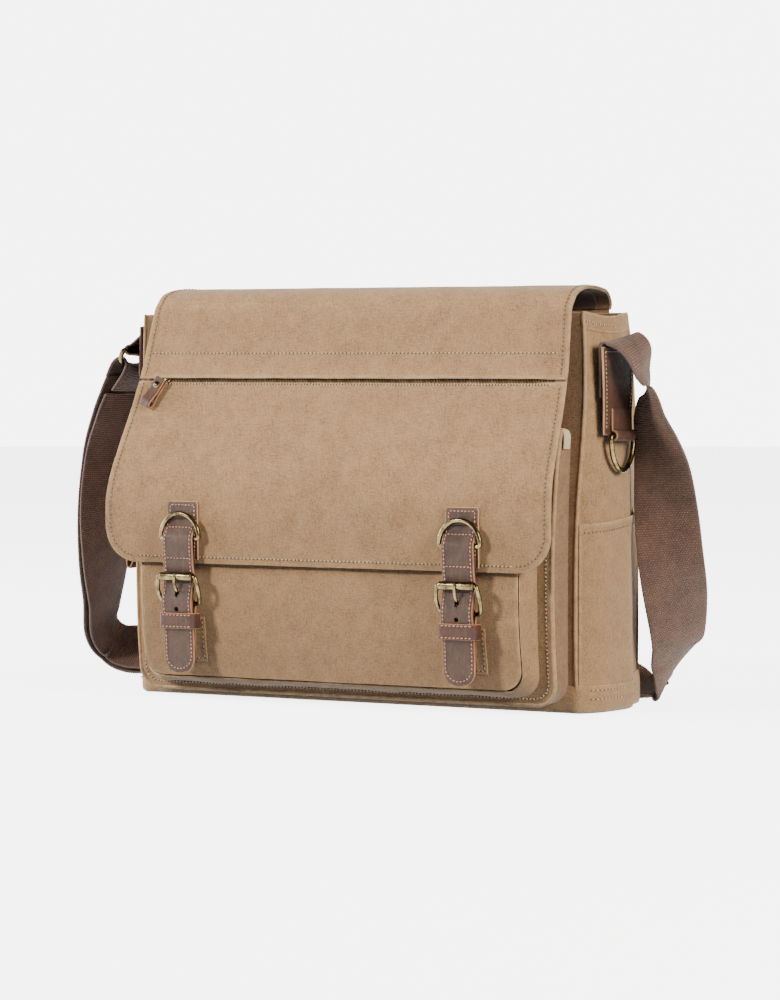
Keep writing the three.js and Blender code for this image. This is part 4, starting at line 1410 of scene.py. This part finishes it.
def make_buckle(side, x):
    body = f"closure_{side}"
    frame_wire = Mesh()
    top = (-111.2, 96)
    heel = (-104.2, 75.2)
    outline = []
    half = 16.6
    arm = [
        (0.0, half - 0.2), (0.12, half + 0.6), (0.3, half + 1.5), (0.55, half + 1.9),
        (0.8, half + 1.2), (0.94, half - 0.2), (1.0, half - 2.2),
    ]
    for share, reach in arm:
        outline.append((reach, share))
    outline += [(half - 2.2 - (2 * half - 4.4) * k / 6, 1.0) for k in range(1, 6)]
    outline += [(-reach, share) for share, reach in reversed(arm)]
    outline += [(-half + 0.2 + (2 * half - 0.4) * k / 6, 0.0) for k in range(1, 6)]
    points = []
    for reach, share in outline:
        bow = -1.6 * math.sin(math.pi * share)
        y = top[0] + (heel[0] - top[0]) * share + bow
        points.append(Vector((x + reach, y, top[1] + (heel[1] - top[1]) * share)))
    smooth = [Vector(p) for p in spline([tuple(p) for p in points + points[:1]], 5 * len(points))][:-1]
    wire_loop(frame_wire, smooth, 1.65)
    build(f"{side}_buckle_wire", frame_wire, [BRASS], body, [f"{side}_buckle_frame"])
    tube = Mesh()
    half_roll = 14.8
    stations = [
        (-half_roll, 2.8), (-half_roll + 0.35, 3.2), (-half_roll + 1.2, 3.35),
        (half_roll - 1.2, 3.35), (half_roll - 0.35, 3.2), (half_roll, 2.8),
    ]
    path = [Vector((x + a, -111.2, 96)) for a, _ in stations]
    sweep(tube, path, circle(1, 24), wide=(0, 1, 0), scales=[(r, r) for _, r in stations])
    build(f"{side}_roller_tube", tube, [BRASS], f"roller_{side}", [f"{side}_roller"])
    pin = Mesh()
    line = spline([
        (-104.2, 78.9), (-106.2, 80.5), (-109, 83.2), (-112.2, 86), (-114.3, 90), (-115, 95), (-114.9, 98.5),
    ], 30)
    path = [Vector((x, y, z)) for y, z in line]
    scales = [(1.25 - 0.45 * (i / 30) ** 3, 1.1 - 0.4 * (i / 30) ** 3) for i in range(31)]
    sweep(pin, path, circle(1, 12), wide=(1, 0, 0), scales=scales)
    turns = np.linspace(0, 2 * math.pi, 22)[:-1]
    eye = [Vector((x, -104.2 + 2.9 * math.cos(a), 76 + 2.9 * math.sin(a))) for a in turns]
    sweep(pin, eye, circle(1.0, 10), wide=(1, 0, 0), closed=True)
    build(f"{side}_pin", pin, [BRASS], f"prong_{side}", [f"{side}_prong"])


def make_keeper(side, x):
    """A leather band round the strap, cut edges showing at top and bottom."""
    mesh = Mesh()
    half = 15.2
    front = -111.7
    back = -101.2
    corner = 2.6
    loop = []
    reach = half - corner
    corners = (
        (reach, front + corner, -90), (reach, back - corner, 0),
        (-reach, back - corner, 90), (-reach, front + corner, 180),
    )
    for cx, cy, start in corners:
        for k in range(7):
            turn = math.radians(start + 15 * k)
            loop.append(Vector((x + cx + corner * math.cos(turn), cy + corner * math.sin(turn), 62)))
    dense = []
    for a, b in zip(loop, loop[1:] + loop[:1]):
        cuts = max(1, round((b - a).length / 3))
        dense += [a.lerp(b, k / cuts) for k in range(cuts)]
    section = strip_section(12, 1.7, 0.5, 4)
    sweep(mesh, dense, section, wide=(0, 0, 1), closed=True, slots=strip_slots(4))
    looks = [LEATHER_DARK, LEATHER_EDGE]
    build(f"{side}_keeper_band", mesh, looks, f"closure_{side}", [f"{side}_keeper"])


def make_chape(side, x):
    """The leather that holds the buckle's heel bar, folded round it behind the strap."""
    mesh = Mesh()
    line = spline([
        (-101.8, 40), (-102.2, 50), (-103.1, 62), (-102.2, 70), (-101.8, 75.5), (-103, 78.1),
        (-105.3, 78.1), (-106.6, 75.5), (-106, 70), (-104.6, 62), (-103.9, 50), (-103.4, 40),
    ], 90)
    for half_x in (-1, 1):
        path = [Vector((x + half_x * 6.8, y, z)) for y, z in line]
        leather_strip(mesh, path, 9.4, 1.5, across=3)
    build(f"{side}_chape_leather", mesh, [LEATHER, LEATHER_EDGE], f"closure_{side}", [f"{side}_chape"])


# ---- side tabs and their rings ----
LEFT_LEAN = 0.5


def make_right_tab():
    x0 = 202 + WEBBING_THICK + 0.3
    mesh = Mesh()
    grid = []
    rows = 30
    for i in range(rows + 1):
        share = i / rows
        z = 271 - 64 * share
        lean = 1.6 * math.sin(math.pi * share)
        fore = -38.2 + 2 * share
        rear = 10 - 5 * share
        grid.append([Vector((x0 + 2.2 + 0.4 * lean, fore + (rear - fore) * j / 18, z)) for j in range(19)])
    shell(mesh, grid, 2.0, rim_slot=1)
    loop = []
    for k in range(25):
        turn = math.radians(100 - 280 * k / 24)
        loop.append(Vector((x0 + 4.4 + 3.5 * math.cos(turn), TAB_Y, 206 + 3.5 * math.sin(turn))))
    lead = [Vector((x0 + 3.4, TAB_Y, 226)), Vector((x0 + 3.6, TAB_Y, 216))]
    leather_strip(mesh, lead + loop + [Vector((x0 + 0.9, TAB_Y, 212))], 31, 1.8, wide=(0, 1, 0))
    build("right_tab_leather", mesh, [LEATHER, LEATHER_EDGE], "bag", ["tab_right"])
    ring = Mesh()
    points = [Vector((x0 + 4.4, TAB_Y + a, 206 - b)) for a, b in d_ring_points(20, 28, WIRE)]
    wire_loop(ring, points, WIRE)
    build("right_ring_wire", ring, [BRASS], "side_ring_right", ["ring_right"])


def make_left_tab():
    face = -208.4 - 2.4
    bar = Vector((face - 12, TAB_Y, 270))
    plate = Mesh()
    grid = []
    half = 22
    for i in range(31):
        z = 288 - 62 * i / 30
        plate_x = face - 0.2 - 0.4 * math.sin(math.pi * i / 30)
        grid.append([Vector((plate_x, TAB_Y + half - 2 * half * j / 16, z)) for j in range(17)])
    shell(plate, grid, 2.0, rim_slot=1)
    build("left_tab_leather", plate, [LEATHER, LEATHER_DARK], "bag", ["tab_left"])
    loop = [Vector((face - 0.6, TAB_Y, 281)), Vector((face - 5, TAB_Y, 277.5)), Vector((bar.x + 2, TAB_Y, 273.8))]
    for k in range(13):
        turn = math.radians(90 + 180 * k / 12)
        loop.append(bar + Vector((3.4 * math.cos(turn), 0, 3.4 * math.sin(turn))))
    loop += [Vector((bar.x + 3, TAB_Y, 266.4)), Vector((face - 1.2, TAB_Y, 265.6)), Vector((face - 1.0, TAB_Y, 250))]
    mesh = Mesh()
    leather_strip(mesh, loop, 43, 1.8, wide=(0, 1, 0), across=10)
    build("left_tab_loop", mesh, [LEATHER, LEATHER_DARK], "bag")
    ring = Mesh()
    points = []
    for a, b in d_ring_points(30, 20, WIRE):
        points.append(bar + Vector((-b * math.sin(LEFT_LEAN), a, -b * math.cos(LEFT_LEAN))))
    wire_loop(ring, points, WIRE)
    build("left_ring_wire", ring, [BRASS], "side_ring_left", ["ring_left"])


def make_strap_turn():
    """The webbing's end, turned over the left ring; its edges climb with the ring's bow."""
    line = spline([
        (-243.5, 245), (-240.5, 251.5), (-236.5, 255.8), (-231.8, 257), (-228.6, 253.5), (-229.8, 248.5),
        (-233.8, 243.5), (-238.4, 238.5),
    ], 56)
    half = 23.5
    cols = 24
    run = 0.0
    grid = []
    along = []
    for i, (x, z) in enumerate(line):
        run += math.dist(line[i], line[i - 1]) if i else 0.0
        near = min(max((z - 238) / 14, 0), 1)
        row = []
        for j in range(cols + 1):
            a = half * (2 * j / cols - 1)
            climb = near * 15.5 * (1 - math.sqrt(1 - (a / 28) ** 2))
            row.append(Vector((x + climb * math.sin(LEFT_LEAN), TAB_Y + 1 - a, z + climb * math.cos(LEFT_LEAN))))
            along.append(run * MM + 0.001)
        grid.append(row)
    mesh = Mesh()
    shell(mesh, grid, WEBBING_THICK, rim_slot=1)
    mesh.across = [(v[1] + WEBBING) * MM for v in mesh.verts]
    count = len(along)
    outer = mesh.verts[:count]
    rest = [along[min(range(count), key=lambda k: math.dist(outer[k], v))] for v in mesh.verts[2 * count:]]
    mesh.along = along + along + rest
    build("strap_turn", mesh, [WEB, WEB_EDGE], "bag", angle=80)


# ---- zip sliders and pulls ----
def leather_pull(mesh, place, width, length):
    """A folded leather pull: two leaves from the slider, joined in an open round loop."""
    thick = 1.3
    gap = 1.5
    half = gap / 2 + thick / 2
    line = [(-half, -length * k / 6) for k in range(4)]
    line += [
        (-half - 0.9, -length * 0.72), (-half - 1.6, -length * 0.9), (-half, -length - 0.6),
        (0.4, -length - 1.0), (half + 1.2, -length * 0.88), (half + 0.4, -length * 0.7),
    ]
    line += [(half, -length * k / 6) for k in (3, 2, 1, 0)]
    path = [place @ Vector((0, y, z)) for y, z in spline(line, 60)]
    leather_strip(mesh, path, width, thick, wide=place.to_3x3() @ Vector((1, 0, 0)), across=4)


def make_flap_slider():
    s = (LIP_S + LOWER_S) / 2
    point = flap_point(-166, s, 0)
    normal = flap_normal(s)
    down = Vector((1, 0, 0)).cross(normal).normalized() * -1
    if down.z > 0:
        down = -down
    place = Matrix((
        (1, -normal.x, -down.x, point.x), (0, -normal.y, -down.y, point.y),
        (0, -normal.z, -down.z, point.z), (0, 0, 0, 1),
    ))
    body = Mesh()
    section = [(-5.2, -0.9), (-4.2, -1.7), (4.2, -1.7), (5.2, -0.9), (5.2, 0.5), (-5.2, 0.5)]
    path = [place @ Vector((0, 0.3, z)) for z in (-2.2, -1.6, 1.6, 2.2)]
    sweep(body, path, section, wide=(1, 0, 0), scales=[(0.85, 0.8), (1, 1), (1, 1), (0.85, 0.8)])
    build("flap_slider_body", body, [BRASS], "flap_slider", ["flap_zip_slider"])
    pull = Mesh()
    tilt = Matrix.Rotation(math.radians(25), 4, "Y")
    hung = place @ Matrix.Translation((0, -4.3, -0.6)) @ tilt
    leather_pull(pull, hung, 10, 24)
    build("flap_pull_leather", pull, [LEATHER_DARK, LEATHER_EDGE], "flap_pull", ["flap_zip_pull"])
    rivet = Mesh()
    dome = [(3.0, 0.0), (3.0, 0.5), (2.5, 1.3), (1.6, 1.85), (0.5, 2.1)]
    path = [hung @ Vector((0, -1.5 - h, -6.5)) for _, h in dome]
    sweep(rivet, path, circle(1, 16), wide=(1, 0, 0), scales=[(r, r) for r, _ in dome])
    build("flap_pull_rivet", rivet, [BRASS], "flap_pull")


def make_organizer_zip():
    z0 = ORGANIZER_TOP - 5.2
    for name, y0, y1, sign in (("organizer_zip_front", -61.4, -57.6, 1), ("organizer_zip_rear", -52.2, -48, -1)):
        tape = Mesh()
        grid = []
        for i in range(4):
            y = y1 + (y0 - y1) * i / 3
            steps = [3.64 * j for j in range(101)]
            grid.append([Vector((-182 + x, y, z0 + 0.9 + 0.5 * soft((x, y, 0), 22, 71))) for x in steps])
        shell(tape, grid[::-1], 0.9)
        teeth = Mesh()
        edge = y1 if sign > 0 else y0
        for k in range(150):
            x = -178 + 356 * k / 149
            middle = Vector((x, edge, z0 + 1.0))
            reach = Vector((0, 0.9 * sign, 0))
            sweep(teeth, [middle - reach, middle, middle + reach], circle(0.55, 6))
        build(f"{name}_tape", tape, [TAPE], "bag", [name])
        build(f"{name}_teeth", teeth, [TEETH], "bag")
    end = Mesh()
    half = ORGANIZER_HALF
    line = [(half - 5, 211.2), (half + 1.6, 210.4), (half + 4.0, 207.5), (half + 4.2, 202), (half + 3.8, 196.5)]
    leather_strip(end, [Vector((x, -58, z)) for x, z in spline(line, 40)], 9.6, 1.3, wide=(0, 1, 0), across=4)
    build("organizer_zip_end_tape", end, [COTTON, COTTON], "bag", ["organizer_zip_end"])


def make_organizer_slider():
    x = -ORGANIZER_HALF
    body = Mesh()
    section = [(-5.6, -1.2), (-4.4, -1.5), (4.4, -1.5), (5.6, -1.2), (5.6, 1.2), (-5.6, 1.2)]
    path = [Vector((x - 1.9, y, 138)) for y in (-65, -64.2, -59.8, -59)]
    sweep(body, path, section, wide=(0, 0, 1), scales=[(0.8, 0.8), (1, 1), (1, 1), (0.8, 0.8)])
    replaced = ["organizer_zip_slider"]
    build("organizer_slider_body", body, [BRASS], "organizer_slider", replaced)
    pull = Mesh()
    place = Matrix.Translation((x - 8.2, -62, 136)) @ Matrix.Rotation(math.radians(14), 4, "Y")
    place @= Matrix.Rotation(math.pi / 2, 4, "Z")
    leather_pull(pull, place, 9, 37)
    looks = [LEATHER_DARK, LEATHER_EDGE]
    build("organizer_pull_leather", pull, looks, "organizer_pull", ["organizer_zip_pull"])


# ---- stitching ----
class Sewing:
    """The stitches, and the dark discs of painted shade at their needle holes, of one body, or of one bending piece."""

    def __init__(self, name, material, body=None, blend=None, slot="canvas"):
        self.name = name
        self.thread = Mesh()
        self.holes = Mesh()
        self.material = material
        self.body = body
        self.blend = blend
        self.slot = slot

    def row(self, points, normals, **stitch):
        stitch_row(self.thread, self.holes, points, normals, **stitch)

    def finish(self):
        build(f"{self.name}_thread", self.thread, [self.material], self.body, blend=self.blend, angle=80)
        build(f"{self.name}_painted_hole_shades", self.holes, [PAINTED_HOLE_SHADE], self.body, blend=self.blend)


def sew_flap():
    upper = Sewing("flap_upper", THREAD, blend=FOLD_BLEND)
    lower = Sewing("flap_lower", THREAD, "flap_front")
    # the flap's side rows are sewn in the darkened thread: painted shade
    sides_upper = Sewing("flap_side_upper", THREAD_PAINTED_SHADE, blend=FOLD_BLEND)
    sides_lower = Sewing("flap_side_lower", THREAD_PAINTED_SHADE, "flap_front")
    row_s = flap_s(267)
    row = [(-181 + 362 * k / 120, row_s) for k in range(121)]
    upper.row([flap_point(x, s, 0.05) for x, s in row], [flap_normal(s) for _, s in row])
    inset = 4.8
    for sign in (-1, 1):
        line = [(sign * (flap_half(s) - inset), s) for s in np.linspace(6, LIP_S - 1, 60)]
        sides_upper.row([flap_point(x, s, 0.05 + lip_lift(x, s)) for x, s in line], [flap_normal(s) for _, s in line])
    left, base, right = flap_outline(inset, LOWER_S + 2)
    for line, sewing in ((left, sides_lower), (base, lower), (right, sides_lower)):
        sewing.row([flap_point(x, s, 0.05) for x, s in line], [flap_normal(s) for _, s in line])
    zip_row = [(-178 + 356 * k / 120, LOWER_S + 1.9) for k in range(121)]
    places = [flap_point(x, s, tuck(x, s) + 0.05) for x, s in zip_row]
    lower.row(places, [flap_normal(s) for _, s in zip_row], pitch=2.6, slant=0.9, zigzag=True)
    for sewing in (upper, lower, sides_upper, sides_lower):
        sewing.finish()


def sew_body():
    cream = Sewing("body", THREAD, "bag")
    # the side pockets' seams, the back's upright rows and the snap patches take the darkened thread: painted shade
    dark = Sewing("body_dark", THREAD_PAINTED_SHADE, "bag")
    for side, sign in (("right", 1), ("left", -1)):
        for z in (17.2, 10.6):
            line = [gusset_point(side, -42 + 88 * k / 40, 30, 2.4) for k in range(41)]
            points = [Vector((p.x, p.y, z)) for p in line]
            cream.row(points, [Vector((sign, 0, 0))] * len(points), pitch=4.2, length=2.3)
        ys = [-38 + 68 * k / 40 for k in range(41)]
        hem = [gusset_point(side, y, 290.5 - rim_sag(290.5, (y + 42) / 78), 0.95) for y in ys]
        cream.row(hem, [Vector((sign, 0, 0))] * 41, pitch=2.8, slant=0.9, zigzag=True)
        points = []
        for y in [-46 + 88 * k / 40 for k in range(41)]:
            share = (y + 49) / 95
            points.append(gusset_point(side, y, 138 + pocket_slope(share), 1.1 + 0.5 * math.sin(math.pi * share)))
        dark.row(points, [Vector((sign, 0, 0))] * 41)
    for z in (17.2, 10.6):
        line = [Vector((-183 + 366 * k / 100, 53.65, z)) for k in range(101)]
        cream.row(line, [Vector((0, 1, 0))] * 101, pitch=4.2, length=2.3)
    for x in (-181, 181):
        zs = [24 + 262 * k / 60 for k in range(61)]
        dark.row([wall_point(back_profile, x, z, 0.05, seed=6, amount=0.8) for z in zs], [Vector((0, 1, 0))] * 61)
    line = u_path(ORGANIZER_HALF, ORGANIZER_BOTTOM, ORGANIZER_TOP - 4, CORNER, 3.4)
    points = [face_point(organizer_profile, x, z, 0.1, 12, 0.2) for x, z in line]
    cream.row(points, [Vector((0, -1, 0))] * len(points), pitch=3.0, slant=0.7, zigzag=True)
    for side, x in CLOSURES:
        corners = [(x - 14.5, 62), (x - 14.5, 32.5), (x + 12.8, 32.5), (x + 12.8, 62), (x - 14.5, 62)]
        for (x0, z0), (x1, z1) in zip(corners, corners[1:]):
            pts = [(x0 + (x1 - x0) * k / 12, z0 + (z1 - z0) * k / 12) for k in range(13)]
            dark.row([face_point(pocket_profile, a, b, 0.75, 31, 1.0) for a, b in pts], [Vector((0, -1, 0))] * 13)
    cream.finish()
    dark.finish()


TAB_STITCH = {"pitch": 3.0, "length": 2.1, "radius": 0.42}
STRAP_STITCH = {"pitch": 3.0, "length": 1.9, "radius": 0.42}


def sew_closures():
    for side, x in CLOSURES:
        tab = Sewing(f"{side}_tab", THREAD_PINK, "flap_front", slot="leather")
        pts = [(x - 11, 114 + 36.5 * k / 14) for k in range(15)]
        pts += [(x - 11 + 22 * k / 10, 150.5) for k in range(1, 11)]
        pts += [(x + 11, 150.5 - 36.5 * k / 14) for k in range(1, 15)]
        places = [flap_point(a, flap_s(b), 1.75) for a, b in pts]
        tab.row(places, [flap_normal(flap_s(b)) for _, b in pts], **TAB_STITCH)
        tab.finish()
        strap = Sewing(f"{side}_strap", THREAD_PINK, blend=closure_blend(side, x), slot="leather")
        low = STRAP_TIP + 12.5
        high = 137
        outline = [(-11.3, high - (high - low) * k / 60) for k in range(61)]
        turns = [math.pi * k / 16 for k in range(1, 16)]
        outline += [(-11.3 * math.cos(t), low - 9.6 * math.sin(t)) for t in turns]
        outline += [(11.3, low + (high - low) * k / 60) for k in range(61)]
        places = [strap_surface(x, a, b, 0.05) for a, b in outline]
        strap.row(places, [strap_normal(b) for _, b in outline], **STRAP_STITCH)
        for z in (133.7, 110):
            row = [(-10.6 + 21.2 * k / 8, z) for k in range(9)]
            strap.row([strap_surface(x, a, b, 0.05) for a, b in row], [strap_normal(z)] * 9, **STRAP_STITCH)
        strap.finish()
        keeper = Sewing(f"{side}_keeper", THREAD_PINK, f"closure_{side}", slot="leather_tan")
        for z in (57.6, 66.4):
            row = [Vector((x - 13.4 + 26.8 * k / 10, -112.6, z)) for k in range(11)]
            keeper.row(row, [Vector((0, -1, 0))] * 11, pitch=3.2, length=2.2, radius=0.42, slant=0.1)
        keeper.finish()
    tabs = Sewing("side_tab", THREAD, "bag", slot="leather_tan")
    x0 = 202 + WEBBING_THICK + 0.3 + 2.2
    for start, drift in ((-35.4, 2), (7, -5)):
        line = []
        for k in range(31):
            bow = 0.65 * math.sin(math.pi * k / 30)
            line.append(Vector((x0 + bow + 0.05, start + drift * k / 30, 269 - 58 * k / 30)))
        tabs.row(line, [Vector((1, 0, 0))] * 31, **TAB_STITCH)
    line = [Vector((x0 + 0.1, -35.4 + 42 * k / 16, 268.2)) for k in range(17)]
    tabs.row(line, [Vector((1, 0, 0))] * 17, **TAB_STITCH)
    line = [Vector((-211.15, TAB_Y - 18.5 + 37 * k / 16, 285.4)) for k in range(17)]
    tabs.row(line, [Vector((-1, 0, 0))] * 17, **TAB_STITCH)
    tabs.finish()


# ---- carried-over parts of the frame ----
def dress_frame():
    looks = {
        "base_board": BOARD, "snap_socket_right": BRASS, "snap_socket_left": BRASS,
        "right_snap_stud": BRASS, "left_snap_stud": BRASS, "strap_slider": BRASS,
    }
    for name, material in looks.items():
        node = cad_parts[name]
        node.data.materials.clear()
        node.data.materials.append(material)


# ---- studio ----
FLOOR_GLOW = 4.6
WALL_GLOW = 6.0
AMBIENT = 0.17
LIGHTS = [
    ("key", (-1.8, -2.7, 1.75), 0.6, 152, (1.0, 0.97, 0.93)),
    ("fill", (2.9, -0.9, 1.3), 1.2, 162, (1.0, 0.96, 0.9)),
    ("left", (-2.8, -0.5, 0.9), 1.2, 140, (1.0, 0.96, 0.9)),
    ("back", (0.4, 2.6, 2.2), 1.6, 26, (1.0, 0.97, 0.93)),
]


def paper(name, glow):
    """The studio's pale paper: it takes a soft shadow, and glows a little by itself."""
    n = Nodes(name, 0.9)
    n.colour(srgb(236, 236, 236))
    n.shader.inputs["Emission Color"].default_value = (1, 1, 1, 1)
    n.shader.inputs["Emission Strength"].default_value = glow
    return n.material


def make_studio():
    edge = 9.0
    data = bpy.data.meshes.new("studio_floor")
    data.from_pydata([(-edge, -edge, 0), (edge, -edge, 0), (edge, edge, 0), (-edge, edge, 0)], [], [(0, 1, 2, 3)])
    floor = bpy.data.objects.new("studio_floor", data)
    floor.location.z = -0.0005
    data.materials.append(paper("studio_paper", FLOOR_GLOW))
    bpy.context.scene.collection.objects.link(floor)
    floor.visible_diffuse = False
    bpy.ops.mesh.primitive_uv_sphere_add(segments=48, ring_count=24, radius=edge)
    dome = bpy.context.object
    dome.name = "studio_dome"
    dome.data.materials.append(paper("studio_wall", WALL_GLOW))
    for ray in ("diffuse", "glossy", "transmission", "volume_scatter", "shadow"):
        setattr(dome, f"visible_{ray}", False)
    world = bpy.data.worlds.new("studio")
    world.use_nodes = True
    world.node_tree.nodes["Background"].inputs["Color"].default_value = (1, 1, 1, 1)
    world.node_tree.nodes["Background"].inputs["Strength"].default_value = AMBIENT
    bpy.context.scene.world = world
    for name, place, size, power, colour in LIGHTS:
        lamp = bpy.data.lights.new(name, "AREA")
        lamp.size = size
        lamp.energy = power
        lamp.color = colour
        obj = bpy.data.objects.new(name, lamp)
        obj.location = place
        aim = Vector((0, 0, 0.15)) - Vector(place)
        obj.rotation_mode = "QUATERNION"
        obj.rotation_quaternion = aim.to_track_quat("-Z", "Y")
        bpy.context.scene.collection.objects.link(obj)


make_camera()
make_shoulder_strap()
make_main_body()
make_base()
make_body_welts()
make_inside()
make_divider()
make_organizer()
make_front_pocket()
make_flap()
make_flap_zip()
for side, x in CLOSURES:
    make_closure(side, x)
make_right_tab()
make_left_tab()
make_strap_turn()
make_flap_slider()
make_organizer_zip()
make_organizer_slider()
sew_flap()
sew_body()
sew_closures()
dress_frame()
make_studio()
